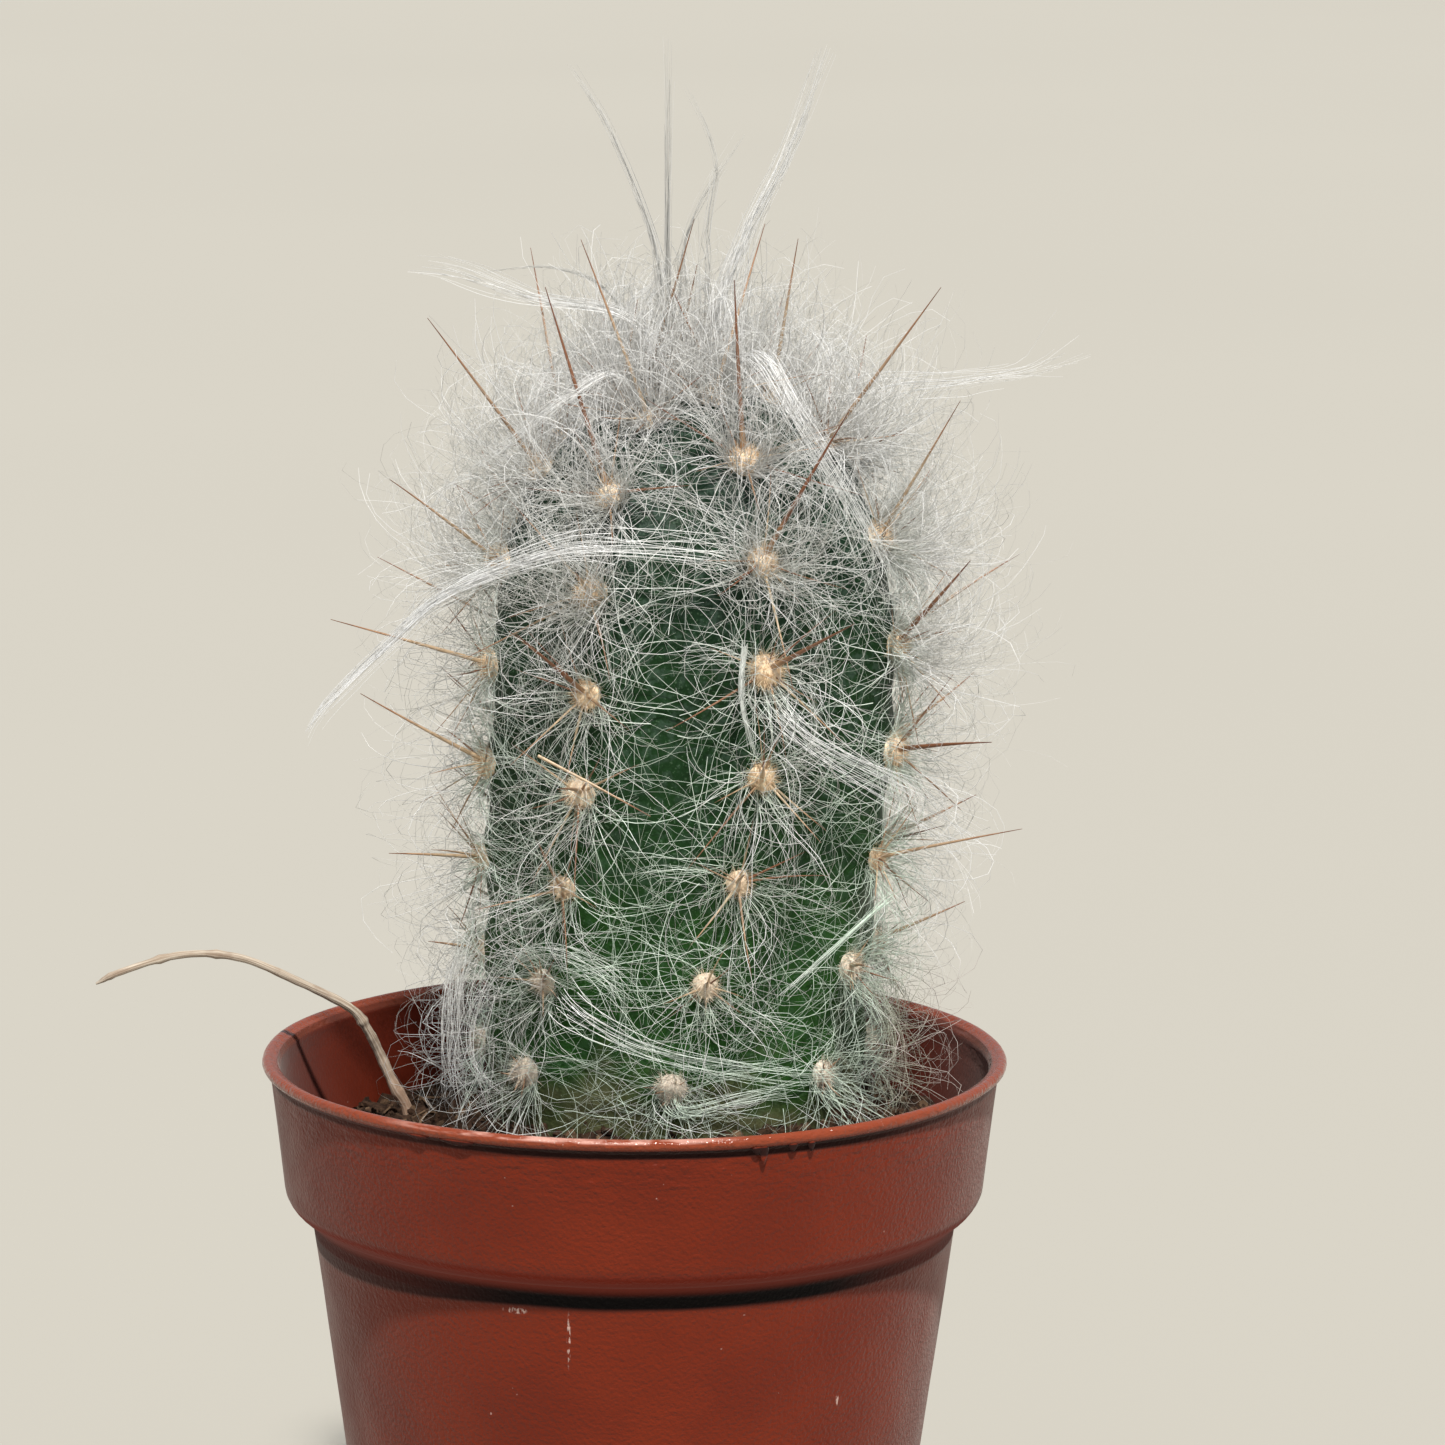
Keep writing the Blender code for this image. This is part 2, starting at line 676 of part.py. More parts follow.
def make_cactus(parts):
    dice = random.Random(SEED)
    areoles = list_areoles()
    body = make_body(areoles, parts)
    grown = new_collection("grown")
    cushion = cushion_mesh()
    needle = needle_mesh()
    rows = {rib: len(areole_heights(rib)) for rib in range(len(RIB_ANGLES))}
    for areole in areoles:
        pad = new_object("cushion", cushion, grown)
        size = Matrix.Diagonal((CUSHION_RADIUS, CUSHION_RADIUS, CUSHION_HEIGHT, 1))
        pad.matrix_world = Matrix.Translation(areole["point"]) @ areole["frame"].to_4x4() @ size
        add_spines(areole, needle, dice, grown)
        from_top = rows[areole["rib"]] - 1 - areole["row"]
        if from_top < 2 or (areole["rib"] + areole["row"]) % 2:
            add_lock(areole, from_top < 2, dice, grown)
    for name, points in WISPS.items():
        route = smooth_route([Vector(point) * MILLIMETRE for point in points], WISP_STEPS)
        tube(name, route, WISP_RADIUS, LOCK_TIP, 0, grown)
    fuse(body, grown, "EXACT")
    smooth(body)
    give_material(body, "cactus_skin", (0.045, 0.13, 0.035), 0.55)
    return body


# The dry stalk


def make_stalk(parts):
    route = smooth_route([Vector(point) * MILLIMETRE for point in STALK], STALK_STEPS)
    stalk = tube("dry_stem", route, STALK_RADIUS, STALK_TIP, 1, parts)
    smooth(stalk)
    give_material(stalk, "dry_straw", (0.33, 0.19, 0.10), 0.8)
    return stalk


def main():
    clear_scene()
    parts = new_collection("potted_oreocereus")
    cutters = new_collection("cutters")
    make_pot(parts, cutters)
    make_soil(parts, cutters)
    make_cactus(parts)
    make_stalk(parts)
    for cutter in list(cutters.objects):
        bpy.data.objects.remove(cutter, do_unlink=True)
    bpy.data.collections.remove(cutters)


main()
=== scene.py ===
# A young woolly column cactus in a small nursery pot: what its pieces look like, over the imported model.
# Lengths in the settings are in millimetres, or metres where a note says so, and angles are in degrees.
# The front looks along -Y.

import functools
import math
import random

import bmesh
import bpy
import numpy as np
from mathutils import Matrix, Vector


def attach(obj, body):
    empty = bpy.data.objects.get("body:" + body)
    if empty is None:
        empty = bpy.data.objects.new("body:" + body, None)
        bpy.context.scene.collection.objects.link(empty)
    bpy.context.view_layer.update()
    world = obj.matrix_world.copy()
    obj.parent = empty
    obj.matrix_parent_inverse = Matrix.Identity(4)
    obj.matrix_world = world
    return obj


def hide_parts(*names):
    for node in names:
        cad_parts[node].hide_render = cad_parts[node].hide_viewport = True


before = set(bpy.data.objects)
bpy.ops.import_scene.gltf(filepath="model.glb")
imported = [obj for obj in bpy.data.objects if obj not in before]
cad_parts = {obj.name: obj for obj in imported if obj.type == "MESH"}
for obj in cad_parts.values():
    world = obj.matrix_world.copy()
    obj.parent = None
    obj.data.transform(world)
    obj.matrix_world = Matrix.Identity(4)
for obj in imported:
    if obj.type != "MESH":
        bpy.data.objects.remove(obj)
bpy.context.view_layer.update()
print("frame loaded:", ", ".join(sorted(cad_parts)))

mm = 0.001


# Camera, lights and floor

view = {"place": (6.352, -468.99, 159.686), "pitch": 10.26, "roll": 0.3397, "lens": 161.94, "sensor": 36}
light = {
    "keyStrength": 5.2,
    "keyColour": (1.0, 0.97, 0.92),
    "keyElevation": 56,
    "keyAzimuth": 11,
    "keySoftness": 3,
    "skyColour": (0.86, 0.93, 1.0),
    "skyStrength": 0.46,
    "floorColour": (0.400, 0.380, 0.336),
    "floorRadius": 6000,
}


def newObject(name, data):
    obj = bpy.data.objects.new(name, data)
    bpy.context.scene.collection.objects.link(obj)
    return obj


def makeCamera():
    pitch, roll = math.radians(view["pitch"]), math.radians(view["roll"])
    right = Vector((1, 0, 0))
    up = Vector((0, math.sin(pitch), math.cos(pitch)))
    back = Vector((0, -math.cos(pitch), math.sin(pitch)))
    turnedRight = right * math.cos(roll) + up * math.sin(roll)
    turnedUp = up * math.cos(roll) - right * math.sin(roll)
    data = bpy.data.cameras.new("camera")
    data.lens = view["lens"]
    data.sensor_width = view["sensor"]
    data.sensor_fit = "HORIZONTAL"
    data.clip_start = 0.01
    data.clip_end = 50
    camera = newObject("camera", data)
    turn = Matrix((turnedRight, turnedUp, back)).transposed().to_4x4()
    camera.matrix_world = Matrix.Translation(Vector(view["place"]) * mm) @ turn
    bpy.context.scene.camera = camera


def makeLights():
    data = bpy.data.lights.new("key", "SUN")
    data.energy = light["keyStrength"]
    data.color = light["keyColour"]
    data.angle = math.radians(light["keySoftness"])
    high, side = math.radians(light["keyElevation"]), math.radians(light["keyAzimuth"])
    towards = Vector((math.sin(side) * math.cos(high), -math.cos(side) * math.cos(high), math.sin(high)))
    newObject("key", data).rotation_euler = towards.to_track_quat("Z", "Y").to_euler()
    world = bpy.data.worlds.new("sky")
    world.use_nodes = True
    sky = world.node_tree.nodes["Background"]
    sky.inputs["Color"].default_value = (*light["skyColour"], 1)
    sky.inputs["Strength"].default_value = light["skyStrength"]
    bpy.context.scene.world = world
    bpy.context.scene.view_settings.view_transform = "Standard"


makeCamera()
makeLights()
print("camera and lights placed")


# Node helpers


def feed(socket, value):
    # A socket takes a link from another socket, or a plain value
    if isinstance(value, bpy.types.NodeSocket):
        socket.id_data.links.new(value, socket)
    else:
        socket.default_value = value


def addNode(tree, kind, feeds=None, **settings):
    node = tree.nodes.new(kind)
    for key, value in settings.items():
        setattr(node, key, value)
    for label, value in (feeds or {}).items():
        feed(node.inputs[label], value)
    return node


def treeOf(*values):
    return next(value.id_data for value in values if isinstance(value, bpy.types.NodeSocket))


def calc(operation, *values):
    return addNode(treeOf(*values), "ShaderNodeMath", dict(enumerate(values)), operation=operation).outputs[0]


def times(*values):
    return functools.reduce(functools.partial(calc, "MULTIPLY"), values)


def timesPlus(value, factor, rest):
    return calc("MULTIPLY_ADD", value, factor, rest)


def vectorCalc(operation, *values):
    node = addNode(treeOf(*values), "ShaderNodeVectorMath", dict(enumerate(values)), operation=operation)
    return node.outputs["Value" if operation == "LENGTH" else "Vector"]


def ranged(value, low, high, toLow=0.0, toHigh=1.0):
    feeds = {"Value": value, "From Min": low, "From Max": high, "To Min": toLow, "To Max": toHigh}
    return addNode(treeOf(value), "ShaderNodeMapRange", feeds, interpolation_type="SMOOTHSTEP").outputs[0]


def blend(share, first, second, kind="MIX"):
    # Two colours, each from a socket or given as red, green, blue
    first, second = (c if isinstance(c, bpy.types.NodeSocket) else (*c, 1) for c in (first, second))
    tree = treeOf(share, first, second)
    node = addNode(tree, "ShaderNodeMix", {0: share, 6: first, 7: second}, data_type="RGBA", blend_type=kind)
    return node.outputs[2]


def newGroup(name, kind, inputs, outputs):
    # inputs: socket kind and starting value by name; outputs: socket kind by name
    tree = bpy.data.node_groups.new(name, kind)
    for label, (socketKind, value) in inputs.items():
        socket = tree.interface.new_socket(label, in_out="INPUT", socket_type="NodeSocket" + socketKind)
        if value is not None:
            socket.default_value = value
    for label, socketKind in outputs.items():
        tree.interface.new_socket(label, in_out="OUTPUT", socket_type="NodeSocket" + socketKind)
    return tree, tree.nodes.new("NodeGroupInput").outputs, tree.nodes.new("NodeGroupOutput").inputs


def makeSpeckleGroup():
    # Uneven specks: a mask that turns on between Low and High, and the same noise as a height
    inputs = {
        "Vector": ("Vector", None),
        "Scale": ("Float", 500.0),
        "Detail": ("Float", 3.0),
        "Low": ("Float", 0.4),
        "High": ("Float", 0.6),
    }
    tree, given, result = newGroup("speckle", "ShaderNodeTree", inputs, {"Mask": "Float", "Height": "Float"})
    feeds = {label: given[label] for label in ("Vector", "Scale", "Detail")}
    noise = addNode(tree, "ShaderNodeTexNoise", feeds).outputs["Fac"]
    feed(result["Mask"], ranged(noise, given["Low"], given["High"]))
    feed(result["Height"], noise)
    return tree


speckleGroup = makeSpeckleGroup()


def speckle(vector, scale, low=0.4, high=0.6, detail=3.0):
    feeds = {"Vector": vector, "Scale": scale, "Low": low, "High": high, "Detail": detail}
    return addNode(vector.id_data, "ShaderNodeGroup", feeds, node_tree=speckleGroup).outputs


def newMaterial(name, roughness, specular):
    material = bpy.data.materials.new(name)
    material.use_nodes = True
    shader = material.node_tree.nodes["Principled BSDF"]
    shader.inputs["Roughness"].default_value = roughness
    shader.inputs["Specular IOR Level"].default_value = specular
    return material, shader, addNode(material.node_tree, "ShaderNodeTexCoord").outputs["Object"]


def axes(vector):
    return addNode(vector.id_data, "ShaderNodeSeparateXYZ", {0: vector}).outputs


def attribute(material, name, kind="Fac"):
    return addNode(material.node_tree, "ShaderNodeAttribute", attribute_name=name).outputs[kind]


def finished(material, shader, colour, height=None, depth=None):
    # depth of the bump in millimetres
    feed(shader.inputs["Base Color"], colour)
    if height is not None:
        feeds = {"Strength": 1.0, "Distance": depth * mm, "Height": height}
        bump = addNode(material.node_tree, "ShaderNodeBump", feeds)
        feed(shader.inputs["Normal"], bump.outputs["Normal"])
    return material


# Materials

potFinish = {
    "colour": (0.147, 0.0142, 0.0016),
    "deepColour": (0.123, 0.0110, 0.0012),
    "lipColour": (0.215, 0.042, 0.017),
    # a painted highlight on the front of the lip
    "paintedHighlightColour": (0.60, 0.34, 0.28),
    # painted shade inside the pot
    "insidePaintedShadeColour": (0.08, 0.0145, 0.008),
    # painted light on the rounded foot of the collar
    "turnPaintedLightColour": (0.170, 0.0120, 0.0004),
    # painted shadow under the collar and under the lip
    "shadeColour": (0.0018, 0.0006, 0.0004),
    "scuffColour": (0.62, 0.46, 0.40),
    "roughness": 0.42,
    "lipRoughness": 0.15,
    "sheen": 0.085,
    # across, up, half width, half height of each patch of fine scratches
    "scuffs": [(-4.3, 34.3, 0.16, 2.4), (-4.4, 38.3, 0.22, 0.7), (-8.1, 36.3, 1.1, 0.28),
        (14.9, 28.4, 0.12, 0.6)],
    # in metres, where an effect begins and is whole: along Z, or along the axis that the name ends in
    "lip": (0.04915, 0.04935),
    "nearLip": (0.0435, 0.0480),
    "scuffedY": (0.0, -0.01),
    # where the painted highlight on the lip lies
    "paintedHighlight": (0.04965, 0.04985),
    "paintedHighlightX": (0.010, 0.002),
    "paintedHighlightY": (-0.020, -0.025),
    # where the painted shadows under the collar and under the lip lie
    "collarPaintedShadow": (0.03655, 0.03698),
    "collarPaintedShadowTop": (0.03860, 0.03765),
    "lipPaintedShadow": (0.04838, 0.04862),
    "lipPaintedShadowTop": (0.04922, 0.04912),
    # where the painted light on the collar's rounded foot lies
    "turn": (0.03670, 0.03700),
    "turnPaintedLightTop": (0.04030, 0.03930),
    # where the inside of the pot, painted darker, begins
    "inside": (0.0378, 0.0382),
}


def makePotPlastic():
    s = potFinish
    material, shader, place = newMaterial("potPlastic", s["roughness"], 0.22)
    for label, value in (("Weight", s["sheen"]), ("Roughness", 0.45), ("Tint", (1.0, 0.93, 0.88, 1))):
        shader.inputs["Sheen " + label].default_value = value
    x, y, z = axes(place)
    cloud = speckle(place, 110, 0.35, 0.65, 5)
    colour = blend(cloud["Mask"], s["deepColour"], s["colour"])
    lip = ranged(z, *s["lip"])
    colour = blend(lip, colour, s["lipColour"])
    marks = 0.0
    for across, up, halfWidth, halfHeight in s["scuffs"]:
        centred = vectorCalc("SUBTRACT", place, (across * mm, 0, up * mm))
        scaled = vectorCalc("MULTIPLY", centred, (1 / (halfWidth * mm), 0, 1 / (halfHeight * mm)))
        marks = calc("MAXIMUM", marks, ranged(vectorCalc("LENGTH", scaled), 1.0, 0.5))
    dabs = speckle(vectorCalc("MULTIPLY", place, (3, 3, 0.9)), 2100, 0.47, 0.58)
    marks = times(marks, ranged(y, *s["scuffedY"]), dabs["Mask"], 0.7)
    dust = speckle(place, 1900, 0.76, 0.80, 2)
    colour = blend(calc("MAXIMUM", marks, times(dust["Mask"], 0.35)), colour, s["scuffColour"])
    # Painted highlight: the lip is painted pale in streaks along the front
    streaks = speckle(vectorCalc("MULTIPLY", place, (1, 1, 6)), 420, 0.40, 0.62, 3)
    paintedHighlight = times(ranged(z, *s["paintedHighlight"]), ranged(y, *s["paintedHighlightY"]), streaks["Mask"], ranged(x, *s["paintedHighlightX"]), 0.8)
    colour = blend(paintedHighlight, colour, s["paintedHighlightColour"])
    # Painted shade: the shadow under the collar and the dark line under the lip are painted near black, the
    # shadow under the collar reaching further down on the left, and both fainter towards the left and the
    # right
    away = calc("SQRT", calc("ADD", times(x, x), times(y, y)))
    level = calc("ADD", z, times(calc("SUBTRACT", cloud["Height"], 0.5), 0.0003))
    side = calc("DIVIDE", x, away)
    left = ranged(side, -0.25, -0.95)
    softer = timesPlus(left, -0.35, timesPlus(ranged(side, 0.55, 1.0), -0.5, 1.0))
    outside = ranged(calc("SUBTRACT", away, times(z, 0.14)), 0.01825, 0.01840)
    lower = ranged(timesPlus(left, 0.0009, level), *s["collarPaintedShadow"])
    collarPaintedShadow = times(lower, ranged(level, *s["collarPaintedShadowTop"]), softer, outside)
    lipPaintedShadow = times(ranged(level, *s["lipPaintedShadow"]), ranged(level, *s["lipPaintedShadowTop"]))
    lipPaintedShadow = times(lipPaintedShadow, ranged(away, 0.0264, 0.0265, 0.0, 0.9), softer)
    shade = calc("MAXIMUM", collarPaintedShadow, lipPaintedShadow)
    # Painted light: the rounded foot of the collar, which turns away from the light, is painted brighter and
    # redder
    turn = times(ranged(level, *s["turnPaintedLightTop"]), outside, ranged(level, *s["turn"]))
    colour = blend(shade, blend(turn, colour, s["turnPaintedLightColour"]), s["shadeColour"])
    # Painted shade: the inside of the pot is painted darker
    inside = times(ranged(timesPlus(z, -0.103, away), 0.02145, 0.02115), ranged(z, *s["inside"]))
    colour = blend(times(inside, 0.25), colour, s["insidePaintedShadeColour"])
    smear = speckle(place, 260, 0.3, 0.7, 4)
    rough = timesPlus(smear["Mask"], 0.10, s["roughness"] - 0.05)
    rough = timesPlus(lip, s["lipRoughness"] - s["roughness"], rough)
    feed(shader.inputs["Roughness"], calc("MAXIMUM", rough, calc("MAXIMUM", shade, times(turn, 0.9))))
    peel = speckle(place, 3300, 0.4, 0.6, 2)
    drawn = speckle(vectorCalc("MULTIPLY", place, (1, 1, 2.8)), 650, 0.4, 0.6, 2)
    height = timesPlus(times(drawn["Height"], ranged(z, *s["nearLip"])), 1.4, peel["Height"])
    return finished(material, shader, colour, times(height, timesPlus(inside, -0.8, 1.0)), 0.12)


skinFinish = {
    "low": (0.0145, 0.060, 0.0088),
    "middle": (0.0066, 0.0275, 0.0070),
    "high": (0.0080, 0.0210, 0.0140),
    "furrow": (0.010, 0.036, 0.010),
    "bloom": (0.075, 0.115, 0.092),
    "pores": (0.12, 0.20, 0.12),
    "foot": (0.11, 0.085, 0.05),
    "roughness": 0.42,
}


def makeSkin():
    s = skinFinish
    material, shader, place = newMaterial("cactusSkin", s["roughness"], 0.12)
    z = axes(place)["Z"]
    patches = speckle(place, 170, 0.35, 0.65, 3)
    wavering = timesPlus(patches["Mask"], 0.006, z)
    colour = blend(ranged(wavering, 0.058, 0.078), s["low"], s["middle"])
    colour = blend(ranged(wavering, 0.078, 0.100), colour, s["high"])
    colour = blend(times(attribute(material, "furrow"), 0.35), colour, s["furrow"])
    bloom = speckle(place, 1500, 0.46, 0.62, 4)
    colour = blend(times(bloom["Mask"], ranged(z, 0.050, 0.098, 0.10, 0.38)), colour, s["bloom"])
    pores = speckle(place, 4200, 0.62, 0.70, 1)
    colour = blend(times(pores["Mask"], 0.30), colour, s["pores"])
    colour = blend(times(ranged(wavering, 0.0570, 0.0490), 0.6), colour, s["foot"])
    feed(shader.inputs["Roughness"], timesPlus(bloom["Mask"], 0.15, s["roughness"]))
    return finished(material, shader, colour, calc("ADD", pores["Height"], bloom["Height"]), 0.06)


feltFinish = {
    "deep": (0.66, 0.46, 0.28),
    "pale": (0.93, 0.76, 0.54),
    "old": (0.86, 0.80, 0.72),
    "low": (0.56, 0.51, 0.45),
    "fibre": (0.92, 0.80, 0.62),
}


def makeFelt():
    s = feltFinish
    material, shader, place = newMaterial("areoleFelt", 0.9, 0.2)
    tufts = speckle(place, 2600, 0.3, 0.7, 2)
    colour = blend(tufts["Mask"], s["deep"], s["pale"])
    colour = blend(times(attribute(material, "tone"), 0.75), colour, s["old"])
    colour = blend(times(ranged(axes(place)["Z"], 0.063, 0.052), 0.5), colour, s["low"])
    return finished(material, shader, blend(times(attribute(material, "along"), 0.3), colour, s["fibre"]))


# Spines: pale at the root, rust along the shaft and dark at the tip
hornFinish = {
    "root": (0.40, 0.25, 0.13),
    "shaft": (0.185, 0.070, 0.031),
    "paleRoot": (0.60, 0.46, 0.30),
    "paleShaft": (0.42, 0.22, 0.12),
    "tip": (0.085, 0.027, 0.017),
}


def makeHorn():
    s = hornFinish
    material, shader, place = newMaterial("spineHorn", 0.38, 0.5)
    flecks = speckle(place, 1400, 0.3, 0.7, 3)
    shift = timesPlus(flecks["Mask"], 0.12, attribute(material, "along"))
    colour = blend(ranged(shift, 0.02, 0.40), s["root"], s["shaft"])
    pale = blend(ranged(shift, 0.50, 0.95), s["paleRoot"], s["paleShaft"])
    colour = blend(attribute(material, "tone"), colour, pale)
    colour = blend(ranged(shift, 0.82, 1.0, 0.0, 0.6), colour, s["tip"])
    return finished(material, shader, colour, flecks["Height"], 0.03)


hairFinish = {
    "white": (0.94, 0.94, 0.94),
    # grey hairs; the grey also serves as painted shade on hairs in shadow
    "greyAndShade": (0.42, 0.41, 0.375),
    "dust": (0.50, 0.46, 0.40),
    # stained hairs on the right, darkened further as painted shade
    "soiledAndShaded": (0.36, 0.25, 0.20),
    # painted light: hair near the skin is painted with the skin's green light; in metres, the plant's axis,
    # how far from it the green begins and is whole, and the heights over which it comes in from the top
    "paintedSkinBounce": (0.82, 0.965, 0.83),
    "axisX": 0.0044,
    "nearSkin": (0.0185, 0.0160),
    "fade": (0.099, 0.066),
}


def makeHairFinish():
    s = hairFinish
    material, shader, place = newMaterial("whiteHair", 0.36, 0.6)
    x, y, z = axes(place)
    colour = blend(attribute(material, "tone"), s["white"], s["greyAndShade"])
    dust = speckle(place, 900, 0.55, 0.75, 2)
    colour = blend(times(dust["Mask"], 0.3), colour, s["dust"])
    # Hairs that trail in the soil on the right are stained, and painted darker for shade as well
    soiledAndShaded = times(ranged(x, 0.0165, 0.0200), ranged(z, 0.0590, 0.0540), 0.6)
    colour = blend(soiledAndShaded, colour, s["soiledAndShaded"])
    # Painted light: hair near the skin is tinted with the skin's green light
    aside = calc("SUBTRACT", x, s["axisX"])
    away = calc("SQRT", calc("ADD", times(aside, aside), times(y, y)))
    nearSkin = times(ranged(away, *s["nearSkin"]), ranged(z, *s["fade"]))
    return finished(material, shader, blend(nearSkin, colour, blend(1.0, colour, s["paintedSkinBounce"], "MULTIPLY")))


peatFinish = {"dark": (0.017, 0.009, 0.0055), "brown": (0.056, 0.030, 0.018), "pale": (0.15, 0.094, 0.056)}


def makePeat():
    s = peatFinish
    material, shader, place = newMaterial("peat", 0.95, 0.15)
    grains = speckle(place, 1500, 0.35, 0.65, 5)
    colour = blend(attribute(material, "tone"), blend(grains["Mask"], s["dark"], s["brown"]), s["pale"])
    return finished(material, shader, colour, grains["Height"], 0.25)


strawFinish = {
    "dark": (0.29, 0.22, 0.16),
    "pale": (0.55, 0.475, 0.385),
    "root": (0.36, 0.20, 0.125),
    "stain": (0.17, 0.10, 0.065),
}


def makeStraw():
    # The grain runs along the stalk: ring is the place round it, along the place on its length
    s = strawFinish
    material, shader, place = newMaterial("dryStraw", 0.75, 0.3)
    along = attribute(material, "along")
    lengthwise = addNode(material.node_tree, "ShaderNodeCombineXYZ", {"Z": times(along, 4.0)}).outputs[0]
    grain = vectorCalc("ADD", attribute(material, "ring", "Vector"), lengthwise)
    fibres = speckle(grain, 3.2, 0.35, 0.65, 4)
    colour = blend(fibres["Mask"], s["dark"], s["pale"])
    colour = blend(ranged(along, 0.42, 0.05, 0.0, 0.65), colour, s["root"])
    stains = speckle(place, 420, 0.52, 0.66, 4)
    colour = blend(times(stains["Mask"], 0.35), colour, s["stain"])
    return finished(material, shader, colour, fibres["Height"], 0.09)


def makeFloorFinish():
    material, shader, place = newMaterial("floorFinish", 0.9, 0.1)
    base = light["floorColour"]
    clouds = speckle(place, 3, 0.3, 0.7, 2)
    return finished(material, shader, blend(clouds["Mask"], base, tuple(0.985 * part for part in base)))


potPlastic = makePotPlastic()
cactusSkin = makeSkin()
areoleFelt = makeFelt()
spineHorn = makeHorn()
whiteHair = makeHairFinish()
peat = makePeat()
dryStraw = makeStraw()
print("materials made")


# Mesh and Geometry Nodes helpers


def keepMesh(made, name):
    mesh = bpy.data.meshes.new(name)
    made.to_mesh(mesh)
    made.free()
    return mesh


def makeFloor():
    made = bmesh.new()
    bmesh.ops.create_circle(made, cap_ends=True, segments=96, radius=light["floorRadius"] * mm)
    bmesh.ops.translate(made, verts=made.verts, vec=(0, 0, -0.0001))
    mesh = keepMesh(made, "floor")
    mesh.materials.append(makeFloorFinish())
    newObject("floor", mesh)


makeFloor()


def keepPlain(obj):
    # What the modifiers make of an object becomes its own mesh
    mesh = bpy.data.meshes.new_from_object(obj.evaluated_get(bpy.context.evaluated_depsgraph_get()))
    obj.modifiers.clear()
    obj.data = mesh


def grown(name, source, tree, values):
    # Runs a Geometry Nodes tree on a source mesh and keeps its result as a plain mesh
    obj = newObject(name, source)
    modifier = obj.modifiers.new(name, "NODES")
    modifier.node_group = tree
    for socket in tree.interface.items_tree:
        if socket.item_type == "SOCKET" and socket.in_out == "INPUT" and socket.name in values:
            modifier[socket.identifier] = values[socket.name]
    keepPlain(obj)
    obj.data.name = name
    return obj


def beginTree(name, inputs):
    inputs = {"Geometry": ("Geometry", None), **inputs, "Material": ("Material", None)}
    return newGroup(name, "GeometryNodeTree", inputs, {"Geometry": "Geometry"})


def endTree(tree, given, result, geometry):
    plain = addNode(tree, "GeometryNodeRealizeInstances", {0: geometry}).outputs[0]
    finish = addNode(tree, "GeometryNodeSetMaterial", {"Geometry": plain, "Material": given["Material"]})
    feed(result["Geometry"], finish.outputs[0])
    return tree


def named(tree, name):
    node = addNode(tree, "GeometryNodeInputNamedAttribute", {"Name": name}, data_type="FLOAT")
    return node.outputs["Attribute"]


def position(tree):
    return addNode(tree, "GeometryNodeInputPosition").outputs[0]


def stored(tree, geometry, name, value, kind="FLOAT", domain="POINT"):
    feeds = {"Geometry": geometry, "Name": name, "Value": value}
    return addNode(tree, "GeometryNodeStoreNamedAttribute", feeds, data_type=kind, domain=domain).outputs[0]


def randomValue(tree, seed, low=None, high=None, kind="FLOAT"):
    # A random number or vector; without limits a number from 0 to 1
    node = addNode(tree, "FunctionNodeRandomValue", {"Seed": seed}, data_type=kind)
    first = 2 if kind == "FLOAT" else 0
    for index, value in ((first, low), (first + 1, high)):
        if value is not None:
            feed(node.inputs[index], value)
    return node.outputs[1 if kind == "FLOAT" else 0]


def scattered(tree, given, density, shape, turn, size):
    # Instances of a shape over the source's faces; turn is made from the normal there
    feeds = {"Mesh": given["Geometry"], "Density": density, "Seed": given["Seed"]}
    spread = addNode(tree, "GeometryNodeDistributePointsOnFaces", feeds, distribute_method="RANDOM")
    feeds = {"Points": spread.outputs["Points"], "Instance": shape, "Scale": size}
    feeds["Rotation"] = turn(spread.outputs["Normal"])
    return addNode(tree, "GeometryNodeInstanceOnPoints", feeds).outputs[0]


def makeStrandTree():
    # Turns polylines into round strands, kinked by noise; each point says how thick its strand is there
    inputs = {"Kink": ("Float", 0.0), "Kink Scale": ("Float", 400.0), "Sides": ("Int", 3)}
    tree, given, result = beginTree("strands", inputs)
    curve = addNode(tree, "GeometryNodeMeshToCurve", {"Mesh": given["Geometry"]}).outputs[0]
    feeds = {"Vector": position(tree), "W": named(tree, "strand"), "Scale": given["Kink Scale"]}
    noise = addNode(tree, "ShaderNodeTexNoise", {**feeds, "Detail": 1.5}, noise_dimensions="4D")
    centred = vectorCalc("SUBTRACT", noise.outputs["Color"], (0.5, 0.5, 0.5))
    reach = times(ranged(named(tree, "along"), 0.0, 0.12), given["Kink"])
    offset = addNode(tree, "ShaderNodeVectorMath", {0: centred, "Scale": reach}, operation="SCALE").outputs[0]
    moved = addNode(tree, "GeometryNodeSetPosition", {"Geometry": curve, "Offset": offset}).outputs[0]
    ring = addNode(tree, "GeometryNodeCurvePrimitiveCircle", {"Resolution": given["Sides"], "Radius": 1.0})
    profile = stored(tree, ring.outputs[0], "ring", position(tree), "FLOAT_VECTOR")
    feeds = {"Curve": moved, "Profile Curve": profile, "Scale": named(tree, "thickness"), "Fill Caps": True}
    tube = addNode(tree, "GeometryNodeCurveToMesh", feeds).outputs[0]
    smooth = addNode(tree, "GeometryNodeSetShadeSmooth", {"Geometry": tube}).outputs[0]
    return endTree(tree, given, result, smooth)


strandTree = makeStrandTree()


def addFloats(mesh, name, values):
    layer = mesh.attributes.new(name, "FLOAT", "POINT")
    layer.data.foreach_set("value", np.asarray(values, np.float32))


def finishPiece(piece):
    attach(piece, "root")
    triangles = sum(len(polygon.vertices) - 2 for polygon in piece.data.polygons)
    print(f"{piece.name}: {triangles} triangles")


